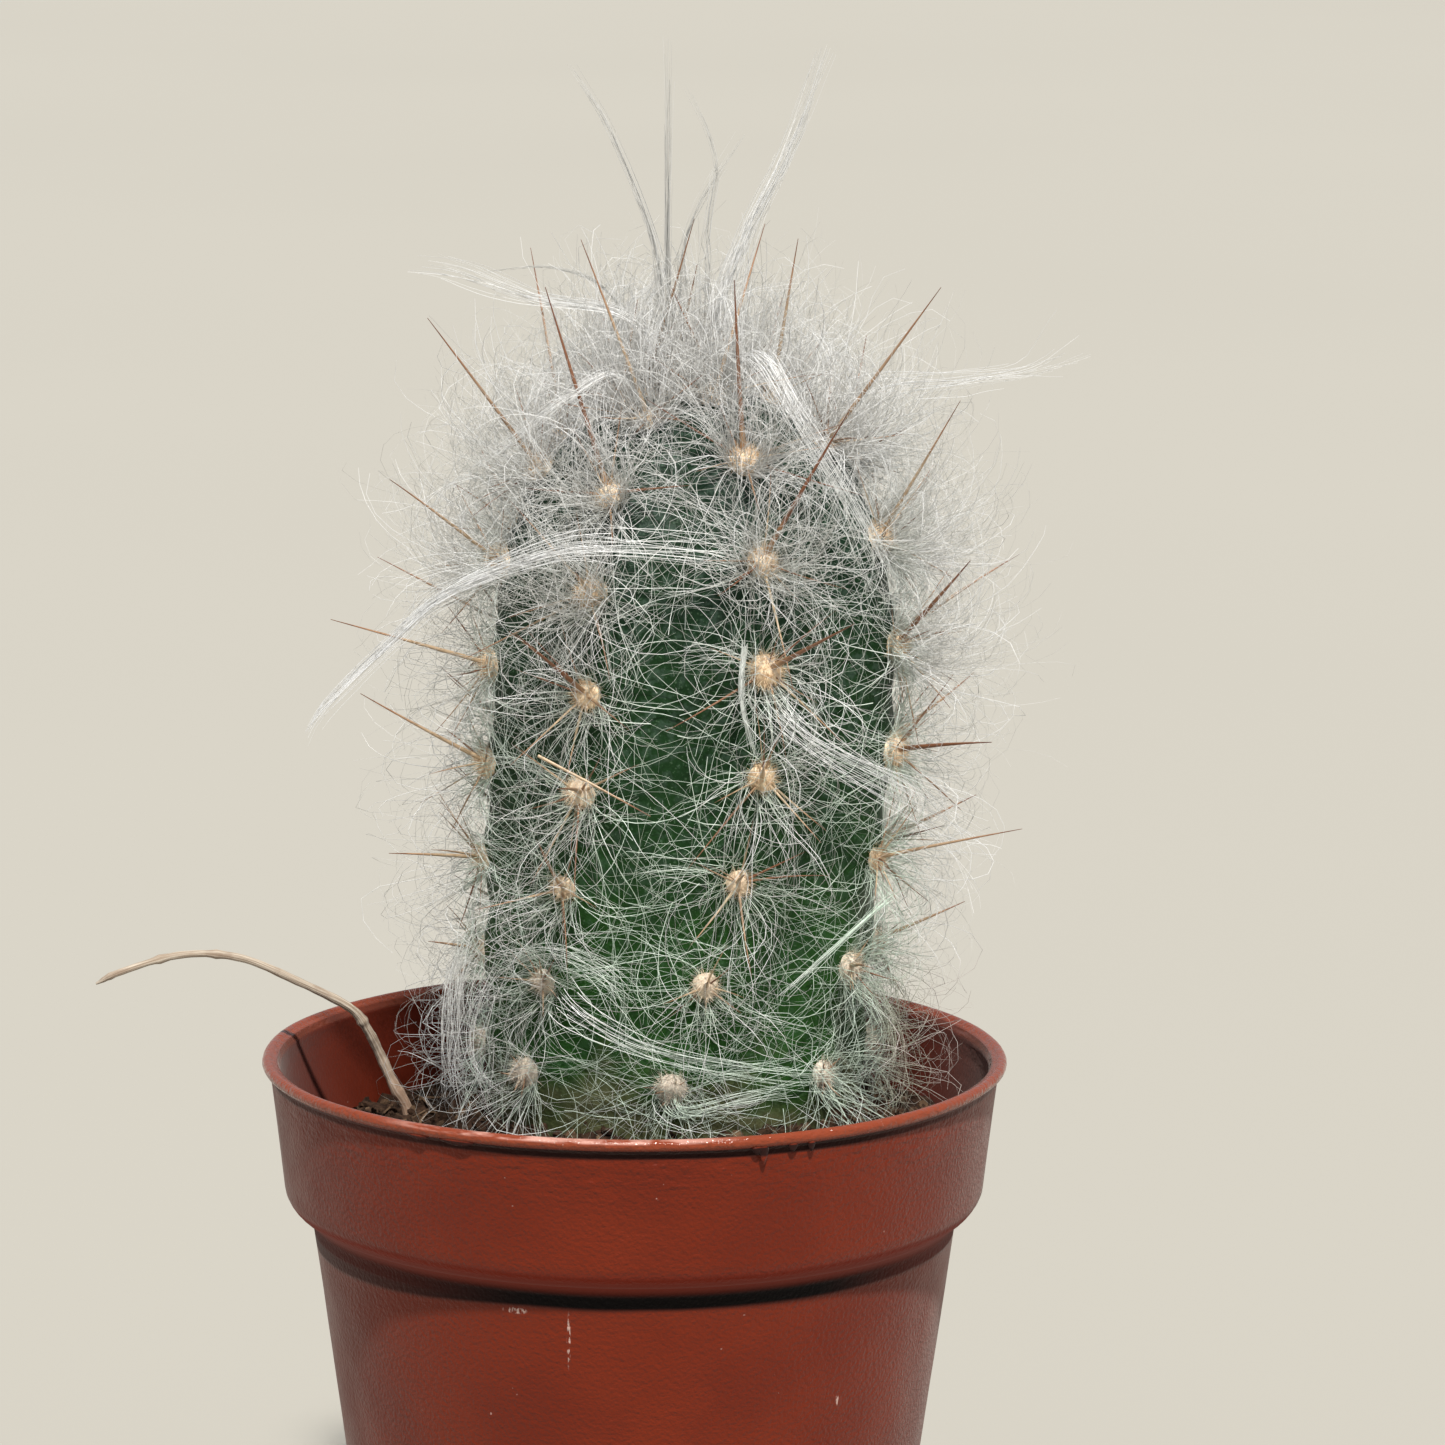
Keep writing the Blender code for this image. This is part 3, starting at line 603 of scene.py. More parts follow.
def makeStrands(name, strands, material, kink, kinkLength, sides, seed):
    # strands: a list of (points, a radius for each point, tone)
    paths, thickness, tones = zip(*strands)
    counts = np.array([len(path) for path in paths])
    spots = np.concatenate(paths) * mm
    mesh = bpy.data.meshes.new(name + "Paths")
    mesh.vertices.add(len(spots))
    mesh.vertices.foreach_set("co", spots.astype(np.float32).ravel())
    starts = np.delete(np.arange(len(spots)), np.cumsum(counts) - 1)
    edges = np.stack((starts, starts + 1), 1).astype(np.int32)
    mesh.edges.add(len(edges))
    mesh.edges.foreach_set("vertices", edges.ravel())
    own = np.random.default_rng(seed).uniform(0, 90, len(paths))
    addFloats(mesh, "along", np.concatenate([np.linspace(0, 1, count) for count in counts]))
    addFloats(mesh, "thickness", np.concatenate(thickness) * mm)
    addFloats(mesh, "tone", np.repeat(np.asarray(tones, float), counts))
    addFloats(mesh, "strand", np.repeat(own, counts))
    mesh.update()
    values = {"Kink": kink * mm, "Kink Scale": 1 / (kinkLength * mm), "Sides": sides, "Material": material}
    piece = grown(name, mesh, strandTree, values)
    finishPiece(piece)
    return piece


def gridMesh(name, rings, start, end):
    # Joins rings of points, each as long as the next, and closes both ends in one point
    count, around = rings.shape[:2]
    pairs = [(k, (k + 1) % around) for k in range(around)]
    last, tip = (count - 1) * around, count * around
    faces = [(r + k, r + n, r + around + n, r + around + k) for r in range(0, last, around) for k, n in pairs]
    faces += [(n, k, tip) for k, n in pairs] + [(last + k, last + n, tip + 1) for k, n in pairs]
    mesh = bpy.data.meshes.new(name)
    mesh.from_pydata((np.concatenate((rings.reshape(-1, 3), (start, end))) * mm).tolist(), [], faces)
    made = bmesh.new()
    made.from_mesh(mesh)
    bmesh.ops.recalc_face_normals(made, faces=made.faces)
    made.to_mesh(mesh)
    made.free()
    mesh.shade_smooth()
    return mesh


def spun(line, sides):
    # Rings of points from a line of (radius, height) turned round the upright axis
    line = np.array(line)
    angles = np.linspace(0, math.tau, sides, endpoint=False)
    return np.stack((line[:, :1] * np.cos(angles), line[:, :1] * np.sin(angles), line[:, 1:] + 0 * angles), 2)


def ripple(spots, length, seed):
    # A smooth uneven number for each point, about -1 to 1, that changes over the given length
    waves = 10
    own = np.random.default_rng(seed)
    directions = own.normal(size=(waves, 3))
    longness = np.linalg.norm(directions, axis=1)[:, None]
    directions *= (math.tau / length) / longness * own.uniform(0.5, 1.4, (waves, 1))
    return np.sin(spots @ directions.T + own.uniform(0, math.tau, waves)).sum(1) / math.sqrt(waves)


def unit(vectors, least=0.0):
    # Each vector made one long, or shorter where its length is under the least
    return vectors / np.maximum(np.linalg.norm(vectors, axis=1), least)[:, None]


# The pot

potShape = {
    "height": 50,
    "lipRadius": 27.5,
    "lipHeight": 0.8,
    "collarTopRadius": 26.88,
    "collarFootRadius": 25.9,
    "collarFootZ": 40.5,
    "collarCurve": 2.3,
    "collarCurveStart": 4,
    "collarCurveEnd": 70,
    "wallTopRadius": 23.85,
    "wallTopZ": 37.6,
    "footRadius": 18.6,
    "footRounding": 1.2,
    "wall": 0.7,
    "floor": 1.0,
    "holeRadius": 1.9,
    "holeCircle": 12.0,
    "holes": 6,
    "sides": 112,
    "waviness": 0.035,
    # across, drop and half width of each tongue of moulding flash under the front of the lip
    "burrs": [(9.45, 1.35, 0.36), (9.0, 0.6, 0.5), (11.5, 0.6, 0.4), (12.8, 0.75, 0.3),
        (-12.2, 0.4, 1.5), (-15.0, 0.35, 1.0)],
}


def wallRadius(z):
    slope = (potShape["wallTopRadius"] - potShape["footRadius"]) / potShape["wallTopZ"]
    return potShape["footRadius"] + slope * z


def arc(centre, radius, start, end, steps):
    angles = np.radians(np.linspace(start, end, steps))
    return [(centre[0] + radius * math.cos(a), centre[1] + radius * math.sin(a)) for a in angles]


def between(first, second, share):
    return (first[0] + (second[0] - first[0]) * share, first[1] + (second[1] - first[1]) * share)


def collarLine(inset, steps):
    # From under the lip down the collar, round its foot, and in to the top of the lower wall
    s = potShape
    start = s["collarCurveStart"]
    centre = (
        s["collarFootRadius"] - s["collarCurve"] * math.cos(math.radians(start)),
        s["collarFootZ"] + s["collarCurve"] * math.sin(math.radians(start)),
    )
    top = (s["collarTopRadius"] - inset, s["height"] - 1.4 * s["lipHeight"])
    foot = arc(centre, s["collarCurve"] - inset, -start, -s["collarCurveEnd"], steps)
    end = foot[0]
    straight = [(top[0] + (end[0] - top[0]) * k / 6, top[1] + (end[1] - top[1]) * k / 6) for k in range(6)]
    return straight + foot + [between((s["wallTopRadius"] - inset, s["wallTopZ"]), foot[-1], 0.16)]


def lowerLine(inset, bottom, steps):
    return [(wallRadius(z) - inset, z) for z in np.linspace(potShape["wallTopZ"] - 0.16, bottom, steps)]


def potProfile():
    s = potShape
    rounding = s["footRounding"]
    floorEdge = wallRadius(s["floor"]) - s["wall"]
    inner = [(r, s["floor"]) for r in np.linspace(0.4, floorEdge - rounding, 8)]
    inner += arc((floorEdge - rounding, s["floor"] + rounding), rounding, -80, -10, 4)
    inner += (collarLine(s["wall"], 10) + lowerLine(s["wall"], s["floor"] + 1.5 * rounding, 12))[::-1]
    lip = [(s["lipRadius"] - 1.35, s["height"] - s["lipHeight"]), (s["lipRadius"] - 1.12, s["height"] - 0.30)]
    lip += arc((s["lipRadius"] - 0.42, s["height"] - 0.5 * s["lipHeight"]), 0.42, 150, -65, 13)
    outer = collarLine(0, 14) + lowerLine(0, rounding, 16)
    foot = arc((wallRadius(0) - rounding, rounding), rounding, -8, -90, 6)
    return inner + lip + outer + foot + [(r, 0) for r in np.linspace(wallRadius(0) - rounding - 1, 0.4, 6)]


def potMesh():
    rings = spun(potProfile(), potShape["sides"])
    flat = rings.reshape(-1, 3)
    uneven = potShape["waviness"] * ripple(flat, 19, 5) + 0.012 * ripple(flat, 5, 6)
    far = np.hypot(flat[:, 0], flat[:, 1])
    share = np.clip(far / 20, 0, 1) * np.clip(flat[:, 2] / 8, 0, 1)
    flat[:, :2] *= (1 + uneven * share / np.maximum(far, 1))[:, None]
    return gridMesh("potShell", flat.reshape(rings.shape), (0, 0, potShape["floor"]), (0, 0, 0))


def cutHoles(pot):
    # The drainage holes in the floor
    made = bmesh.new()
    radius = potShape["holeRadius"] * mm
    for k in range(potShape["holes"]):
        angle = math.tau * k / potShape["holes"]
        towards = Vector((math.cos(angle), math.sin(angle), 0))
        place = Matrix.Translation(towards * potShape["holeCircle"] * mm)
        size = {"radius1": radius, "radius2": radius, "depth": 6 * mm}
        bmesh.ops.create_cone(made, cap_ends=True, segments=32, matrix=place, **size)
    drill = newObject("drill", keepMesh(made, "drill"))
    cut = pot.modifiers.new("holes", "BOOLEAN")
    cut.operation = "DIFFERENCE"
    cut.object = drill
    keepPlain(pot)
    bpy.data.objects.remove(drill, do_unlink=True)


def addBurrs(pot):
    made = bmesh.new()
    made.from_mesh(pot.data)
    edge = potShape["lipRadius"] - 0.28
    for across, drop, halfWidth in potShape["burrs"]:
        front = -math.sqrt(edge**2 - across**2)
        spot = Vector((across, front, potShape["height"] - potShape["lipHeight"] - 0.15 * drop)) * mm
        turn = Matrix.Rotation(math.atan2(across, -front), 4, "Z")
        size = Matrix.Diagonal((halfWidth * mm, 0.16 * mm, drop * 0.8 * mm, 1))
        place = Matrix.Translation(spot) @ turn @ size
        for vertex in bmesh.ops.create_icosphere(made, subdivisions=2, radius=1, matrix=place)["verts"]:
            below = max(spot.z - vertex.co.z, 0) / (drop * mm)
            vertex.co.x += (spot.x - vertex.co.x) * 0.45 * below
    for face in made.faces:
        face.smooth = True
    made.to_mesh(pot.data)
    made.free()


def makePot():
    pot = newObject("potShell", potMesh())
    cutHoles(pot)
    addBurrs(pot)
    pot.data.set_sharp_from_angle(angle=math.radians(40))
    pot.data.materials.clear()
    pot.data.materials.append(potPlastic)
    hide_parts("pot")
    finishPiece(pot)


makePot()


# The cactus body

bodyShape = {
    "soilLine": 46.6,
    "stubZ": 39.0,
    "stubRadius": 12.5,
    "soilLineRadius": 13.7,
    "bellyRadius": 15.1,
    "bellyZ": 74.0,
    "domeZ": 79.0,
    "apexZ": 98.9,
    "domeFullness": 2.4,
    "ribDepth": 1.5,
    "ribRounding": 1.9,
    "ribAngles": (-30, 19, 69, 113, 157, 201, 243, 286),
    "columns": 25,
    "twistTopZ": 75.0,
    "twistSpan": 25.0,
    "twist": 20,
    "twistPower": 1.4,
    "baseX": 2.9,
    "lean": 1.5,
    "leanSpan": 33.0,
    "firstAreoleZ": 50.6,
    "areolePitches": (7.15, 7.65, 7.75, 7.3, 7.6, 7.2, 7.5, 7.3),
    "crownClear": 3.0,
    "tubercle": 0.3,
    "tubercleReach": 2.2,
    "wrinkle": 0.07,
}
ribCrests = np.array([*bodyShape["ribAngles"], bodyShape["ribAngles"][0] + 360.0])


def eased(share):
    share = np.clip(share, 0, 1)
    return share * share * (3 - 2 * share)


def crestRadius(z):
    s = bodyShape
    z = np.asarray(z, float)
    dome = np.clip((z - s["domeZ"]) / (s["apexZ"] - s["domeZ"]), 0, 1)
    top = s["bellyRadius"] * (1 - dome ** s["domeFullness"]) ** (1 / s["domeFullness"])
    swell = eased((z - s["soilLine"]) / (s["bellyZ"] - s["soilLine"]))
    side = s["soilLineRadius"] + (s["bellyRadius"] - s["soilLineRadius"]) * swell
    taper = np.clip((s["soilLine"] - z) / (s["soilLine"] - s["stubZ"]), 0, None)
    foot = s["soilLineRadius"] - (s["soilLineRadius"] - s["stubRadius"]) * taper**2
    return np.where(z >= s["domeZ"], top, np.where(z >= s["soilLine"], side, foot))


def ribDepth(z):
    depth = bodyShape["ribDepth"] * eased((z - bodyShape["soilLine"]) / 8)
    return np.where(z > bodyShape["domeZ"], depth * crestRadius(z) / bodyShape["bellyRadius"], depth)


def axisX(z):
    return bodyShape["baseX"] + bodyShape["lean"] * eased((z - bodyShape["soilLine"]) / bodyShape["leanSpan"])


def twist(z):
    below = np.clip(bodyShape["twistTopZ"] - z, 0, None) / bodyShape["twistSpan"]
    return -bodyShape["twist"] * below ** bodyShape["twistPower"]


def fromCrest(degrees):
    # How far an angle round the plant is from a rib's crest: 0 on it, 1 in the middle of a furrow
    turned = (degrees - ribCrests[0]) % 360 + ribCrests[0]
    rib = np.clip(np.searchsorted(ribCrests, turned, side="right") - 1, 0, len(ribCrests) - 2)
    share = (turned - ribCrests[rib]) / (ribCrests[rib + 1] - ribCrests[rib])
    return 1 - np.abs(2 * share - 1)


def aboveSkin(spots):
    # The distance of each point from the skin, and the direction straight out of the skin there
    s = bodyShape
    n = s["domeFullness"]
    z = spots[:, 2]
    away = spots[:, 0] - axisX(z)
    far = np.maximum(np.hypot(away, spots[:, 1]), 1e-6)
    degrees = np.degrees(np.arctan2(away, -spots[:, 1])) - twist(z)
    furrow = ribDepth(z) * fromCrest(degrees) ** s["ribRounding"]
    inDome = np.clip((z - s["domeZ"]) / (s["apexZ"] - s["domeZ"]), 0, None)
    radius = np.where(z > s["domeZ"], s["bellyRadius"], crestRadius(z)) - furrow
    u = far / radius
    level = (u**n + inDome**n) ** (1 / n)
    slopeOut = u ** (n - 1) / radius * level ** (1 - n)
    slopeUp = inDome ** (n - 1) / (s["apexZ"] - s["domeZ"]) * level ** (1 - n)
    steep = np.hypot(slopeOut, slopeUp)
    out = np.stack((slopeOut * away / far, slopeOut * spots[:, 1] / far, slopeUp), 1) / steep[:, None]
    return (level - 1) / steep, out


def surfaceFrame(angleDegrees, z):
    # Columns: aside (to growing angles), up along the rib, and straight out
    step = 0.2
    high = min(z + step, bodyShape["apexZ"])
    slope = float(crestRadius(high) - crestRadius(z - step)) / (high - z + step)
    angle = math.radians(angleDegrees + float(twist(z)))
    along = np.array((math.sin(angle), -math.cos(angle), 0)) * slope + np.array((0, 0, 1))
    along /= np.linalg.norm(along)
    aside = np.array((math.cos(angle), math.sin(angle), 0))
    return np.stack((aside, along, np.cross(aside, along)), 1)


def surfacePoint(angleDegrees, z, out=0.0):
    angle = math.radians(angleDegrees + float(twist(z)))
    radius = float(crestRadius(z))
    spot = np.array((float(axisX(z)) + radius * math.sin(angle), -radius * math.cos(angle), z))
    return spot + out * surfaceFrame(angleDegrees, z)[:, 2]


def areoleHeights(pitch):
    # Heights of a rib's areoles, a pitch apart along its crest, up to the crown
    step = 0.02
    heights = [bodyShape["firstAreoleZ"]]
    z = np.arange(bodyShape["firstAreoleZ"], bodyShape["apexZ"], step)
    z = z[crestRadius(z) > bodyShape["crownClear"]]
    walked = np.concatenate(([0], np.cumsum(np.hypot(step, np.diff(crestRadius(z))))))
    while walked[-1] >= pitch * len(heights):
        heights.append(float(z[np.searchsorted(walked, pitch * len(heights))]))
    return heights


areoles = []
for rib, ribAngle in enumerate(bodyShape["ribAngles"]):
    rowHeights = areoleHeights(bodyShape["areolePitches"][rib])
    for row, rowZ in enumerate(rowHeights):
        areole = {"rib": rib, "row": row, "fromTop": len(rowHeights) - 1 - row, "z": rowZ}
        areole["point"] = surfacePoint(ribAngle, rowZ)
        areole["frame"] = surfaceFrame(ribAngle, rowZ)
        areoles.append(areole)
print(len(areoles), "areoles")


def makeBody():
    s = bodyShape
    rise, power = s["apexZ"] - s["domeZ"], 2 / s["domeFullness"]
    heights = [s["domeZ"] + rise * math.cos(math.radians(t)) ** power for t in np.linspace(2.0, 90, 40)]
    heights += list(np.linspace(s["domeZ"], s["soilLine"], 62))[1:]
    heights += list(np.linspace(s["soilLine"], s["stubZ"], 7))[1:]
    z = np.array(heights)[:, None]
    share = np.arange(s["columns"]) / s["columns"]
    degrees = np.concatenate([here + share * (after - here) for here, after in zip(ribCrests, ribCrests[1:])])
    crest = fromCrest(degrees)[None, :]
    radius = crestRadius(z) - ribDepth(z) * crest ** s["ribRounding"]
    angles = np.radians(degrees[None, :] + twist(z))
    rings = np.stack((axisX(z) + radius * np.sin(angles), -radius * np.cos(angles), z + 0 * angles), 2)
    flat = rings.reshape(-1, 3)
    out = aboveSkin(flat)[1]
    lift = np.zeros(len(flat))
    # Each areole stands on a low mound with a shallow ditch round it
    for areole in areoles:
        near = np.linalg.norm(flat - areole["point"], axis=1) / s["tubercleReach"]
        lift += s["tubercle"] * np.exp(-near * near)
        lift -= 0.10 * np.exp(-(((near - 1.9) / 0.5) ** 2))
    lift += s["wrinkle"] * ripple(flat * (1, 1, 0.7), 3.4, 21) + 0.4 * s["wrinkle"] * ripple(flat, 1.2, 22)
    flat += out * lift[:, None]
    top, foot = ((float(axisX(s[name])), 0, s[name]) for name in ("apexZ", "stubZ"))
    mesh = gridMesh("cactusBody", flat.reshape(rings.shape), top, foot)
    furrow = np.broadcast_to(crest, rings.shape[:2]).ravel()
    addFloats(mesh, "furrow", np.concatenate((furrow, (0, 0))))
    mesh.materials.append(cactusSkin)
    body = newObject("cactusBody", mesh)
    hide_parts("cactus")
    finishPiece(body)


makeBody()


# Felt on the areoles

feltShape = {
    "radius": 1.2,
    "height": 1.2,
    "rowSizes": (0.9, 0.86, 0.78),
    "topSize": 0.8,
    "roughness": 0.04,
    "fibreLength": 0.66,
    "fibreRadius": 0.022,
    "fibresPerMm2": 50.0,
    "seed": 5,
}


def makeFeltTree():
    inputs = {
        "Density": ("Float", 1000.0),
        "Length": ("Float", 0.001),
        "Radius": ("Float", 0.0001),
        "Seed": ("Int", 1),
    }
    tree, given, result = beginTree("felt", inputs)
    feeds = {"Vertices": 3, "Radius Bottom": given["Radius"], "Depth": given["Length"]}
    fibre = addNode(tree, "GeometryNodeMeshCone", feeds).outputs["Mesh"]
    fibre = stored(tree, fibre, "along", ranged(axes(position(tree))["Z"], 0.0, given["Length"]))
    tilt = randomValue(tree, given["Seed"], (-0.75, -0.75, -0.75), (0.75, 0.75, 0.75), "FLOAT_VECTOR")

    def turn(normal):
        lean = {"Vector": vectorCalc("ADD", normal, tilt)}
        return addNode(tree, "FunctionNodeAlignRotationToVector", lean, axis="Z").outputs[0]

    density = times(given["Density"], named(tree, "free"))
    fibres = scattered(tree, given, density, fibre, turn, randomValue(tree, given["Seed"], 0.55, 1.25))
    both = addNode(tree, "GeometryNodeJoinGeometry")
    for part in (fibres, given["Geometry"]):
        feed(both.inputs[0], part)
    return endTree(tree, given, result, both.outputs[0])


def orderedMesh(made, name, layers):
    # The same mesh in every run: a sphere's faces come in no fixed order, so they are sorted
    made.verts.index_update()
    faces = []
    for face in made.faces:
        corners = [vertex.index for vertex in face.verts]
        first = corners.index(min(corners))
        faces.append(corners[first:] + corners[:first])
    mesh = bpy.data.meshes.new(name)
    mesh.from_pydata([vertex.co for vertex in made.verts], [], sorted(faces))
    for layer in layers:
        addFloats(mesh, layer.name, [vertex[layer] for vertex in made.verts])
    made.free()
    mesh.shade_smooth()
    return mesh


def makeFeltPads():
    s = feltShape
    own = np.random.default_rng(s["seed"])
    made = bmesh.new()
    tone, free = (made.verts.layers.float.new(name) for name in ("tone", "free"))
    for areole in areoles:
        size = own.uniform(0.9, 1.08)
        if areole["fromTop"] == 0:
            size *= s["topSize"]
        if areole["row"] < 3:
            size *= s["rowSizes"][areole["row"]]
        wide = s["radius"] * size * own.uniform(0.94, 1.06)
        scale = Matrix.Diagonal((wide, s["radius"] * size, s["height"] * size, 1))
        place = Matrix.Scale(mm, 4) @ Matrix.Translation(areole["point"].tolist())
        place = place @ Matrix(areole["frame"].tolist()).to_4x4() @ scale
        pad = bmesh.ops.create_uvsphere(made, u_segments=12, v_segments=8, radius=1, matrix=place)
        # The lowest pads are weathered
        paleness = own.uniform(0.0, 0.35) + (0.45 if areole["z"] < 62 else 0.0)
        for vertex in pad["verts"]:
            vertex[tone] = paleness
            above = (np.array(vertex.co) / mm - areole["point"]) @ areole["frame"][:, 2]
            vertex[free] = 1.0 if above > 0.05 else 0.0
            vertex.co += Vector(own.normal(0, s["roughness"], 3) * mm)
    values = {
        "Density": s["fibresPerMm2"] / mm**2,
        "Length": s["fibreLength"] * mm,
        "Radius": s["fibreRadius"] * mm,
        "Seed": s["seed"],
        "Material": areoleFelt,
    }
    felt = grown("areolePads", orderedMesh(made, "feltPads", (tone, free)), makeFeltTree(), values)
    finishPiece(felt)


makeFeltPads()


# Spines and the routes of the locks: the same draws as in the solids, in the same order

spineShape = {
    "seed": 41,
    "centralRadius": 0.225,
    "centralLength": 13.0,
    "centralRise": 26,
    "centralSide": 22,
    "radialRadius": 0.105,
    "radialLength": 6.6,
    "radialRise": 24,
    "radials": 3,
    "rowShares": (0.35, 0.6, 1.0),
    "extraRadials": 4,
    "extraSeed": 17,
    # rib and row of the central spines that show dark and strong at the front
    "front": ((0, 6), (1, 6), (1, 5), (1, 4), (0, 4), (2, 4), (2, 3)),
}
# Central spines with a lean of their own: for a rib, then a row: aside, up, length
leaningSpines = {
    0: {7: (-13, 8, 13.5), 6: (-30, 50, 15.0), 5: (20, 10, 9.0), 4: (2, 30, 11.5), 3: (26, 17, 9.0),
        2: (36, 18, 8.5), 1: (40, 18, 5.5)},
    1: {7: (23, 21, 14.0), 6: (-8, 39, 13.5), 5: (24, 42, 14.0), 4: (16, 23, 12.0), 3: (-17, 18, 9.0),
        2: (-12, 20, 8.5), 1: (-6, 20, 5.5)},
    2: {6: (-2, 5, 15.0), 5: (-16, 36, 13.0), 4: (-18, 41, 10.0), 3: (-31, 14, 10.5), 2: (0, 20, 11.5),
        1: (-45, 18, 6.0)},
    3: {7: (-14, 16, 12.5), 6: (35, 22, 10.5), 5: (35, 15, 10.0), 4: (-4, 34, 12.4), 2: (25, 15, 10.0)},
    4: {7: (18, 30, 8.5), 6: (-2, 25, 10.0)},
    6: {7: (11, 35, 14.5), 6: (-16, 29, 15.0), 5: (-30, 20, 10.0), 3: (-25, 20, 9.5), 2: (-20, 25, 9.0)},
    7: {7: (-10, 30, 8.0), 6: (5, 17, 14.5), 5: (19, 25, 13.0), 4: (11, 18, 13.5), 3: (17, 29, 12.0),
        2: (35, 14, 10.0), 1: (30, 20, 5.0)},
}
# Radial spines seen from the front: for a rib and row, how far right and up each tip lies, and how pale it is
frontRadials = {
    (1, 6): [(7.2, -2.4, 0.0), (-6.4, 4.4, 0.0)],
    (1, 5): [(-3.3, -2.1, 0.0), (1.4, -8.2, 1.0)],
    (1, 4): [(5.6, -5.0, 0.9), (-6.9, -3.9, 0.1)],
    (1, 3): [(-5.2, -5.8, 0.1), (4.6, -4.0, 0.8)],
    (1, 2): [(4.4, 2.3, 0.0), (-3.0, -4.2, 0.9)],
    (0, 5): [(-8.6, -5.3, 0.6), (-6.1, 6.4, 0.7), (2.3, -5.3, 0.3)],
    (0, 4): [(-4.5, 4.8, 0.0), (-1.7, -6.5, 0.9)],
    (0, 3): [(-3.3, -6.4, 0.9), (-3.7, -1.6, 0.2), (4.4, 3.2, 0.6)],
    (0, 6): [(5.6, 1.6, 0.1)],
    (2, 4): [(1.6, -7.4, 0.8)],
}
looseSpine = ([(-6.7, -15.9, 75.2), (-2.8, -17.2, 73.4), (1.3, -17.6, 71.2)], (0.13, 0.10, 0.03), 0.75)
lockShape = {"points": 4, "sideLength": 8.5, "sideLift": 2.6, "crownLength": 9.5}


def pointing(around, rise):
    # In an areole's frame, from an angle round it and one above the skin, in radians
    return np.array((math.cos(around) * math.cos(rise), math.sin(around) * math.cos(rise), math.sin(rise)))


def leaning(aside, up):
    aside, up = math.radians(aside), math.radians(up)
    return np.array((math.sin(aside) * math.cos(up), math.sin(up), math.cos(aside) * math.cos(up)))


def lockRoute(areole, dice):
    # A lock rises from its areole and bends aside along the body, or stands up at the crown
    s = lockShape
    root, basis = areole["point"], areole["frame"]
    side = dice.choice((-1, 1))
    bend = dice.uniform(0.7, 1.2)
    route = []
    for k in range(s["points"]):
        share = k / (s["points"] - 1)
        if areole["fromTop"] < 2:
            inward = np.array((float(axisX(bodyShape["apexZ"])) - root[0], -root[1], 0))
            spot = root + np.array((0, 0, s["crownLength"] * share)) + inward * 0.35 * share**2 * bend
            spot = spot + basis[:, 0] * side * 2.2 * share**2 + basis[:, 2] * 2 * math.sin(math.pi * share)
        else:
            sweep = math.degrees(side * bend * s["sideLength"] * share / bodyShape["bellyRadius"])
            lift = s["sideLift"] * math.sin(0.25 * math.pi + 0.6 * math.pi * share)
            lift -= s["sideLift"] * math.sin(0.25 * math.pi) * (1 - share)
            angle = bodyShape["ribAngles"][areole["rib"]] + sweep
            spot = surfacePoint(angle, areole["z"] + 1.5 * math.sin(3 * share) * bend, lift)
        route.append(spot)
    return route


def drawNeedles():
    # Every central and radial spine as (areole, direction, length), and every lock's route
    s = spineShape
    dice = random.Random(s["seed"])
    centrals, radials, locks = [], [], []
    for areole in areoles:
        basis = areole["frame"]
        share = s["rowShares"][min(areole["row"], 2)]
        drawn = (
            dice.uniform(-s["centralSide"], s["centralSide"]),
            s["centralRise"] + dice.uniform(-10, 14),
            s["centralLength"] * share * dice.uniform(0.8, 1.05),
        )
        aside, up, length = leaningSpines.get(areole["rib"], {}).get(areole["row"], drawn)
        if areole["row"] > 0:
            centrals.append((areole, basis @ leaning(aside, up), length))
        turn = dice.uniform(0, 90)
        for k in range(s["radials"]):
            around = math.radians(turn + 360 * k / s["radials"] + dice.uniform(-16, 16))
            rise = math.radians(s["radialRise"] + dice.uniform(-6, 16))
            length = s["radialLength"] * share * dice.uniform(0.75, 1.2)
            radials.append((areole, basis @ pointing(around, rise), length))
        if areole["fromTop"] < 2 or (areole["rib"] + areole["row"]) % 2:
            locks.append(lockRoute(areole, dice))
    return centrals, radials, locks


def needle(areole, lift, direction, length, bend, radius, tone, points=7):
    # Slim to the tip, with a swollen foot
    tip, foot = 0.12, 0.35
    share = np.linspace(0, 1, points)
    root = areole["point"] + areole["frame"][:, 2] * lift
    path = root + direction * length * share[:, None] + bend * share[:, None] ** 2
    return path, radius * (1 - (1 - tip) * share**1.15) * (1 + foot * np.exp(-share * 22)), tone


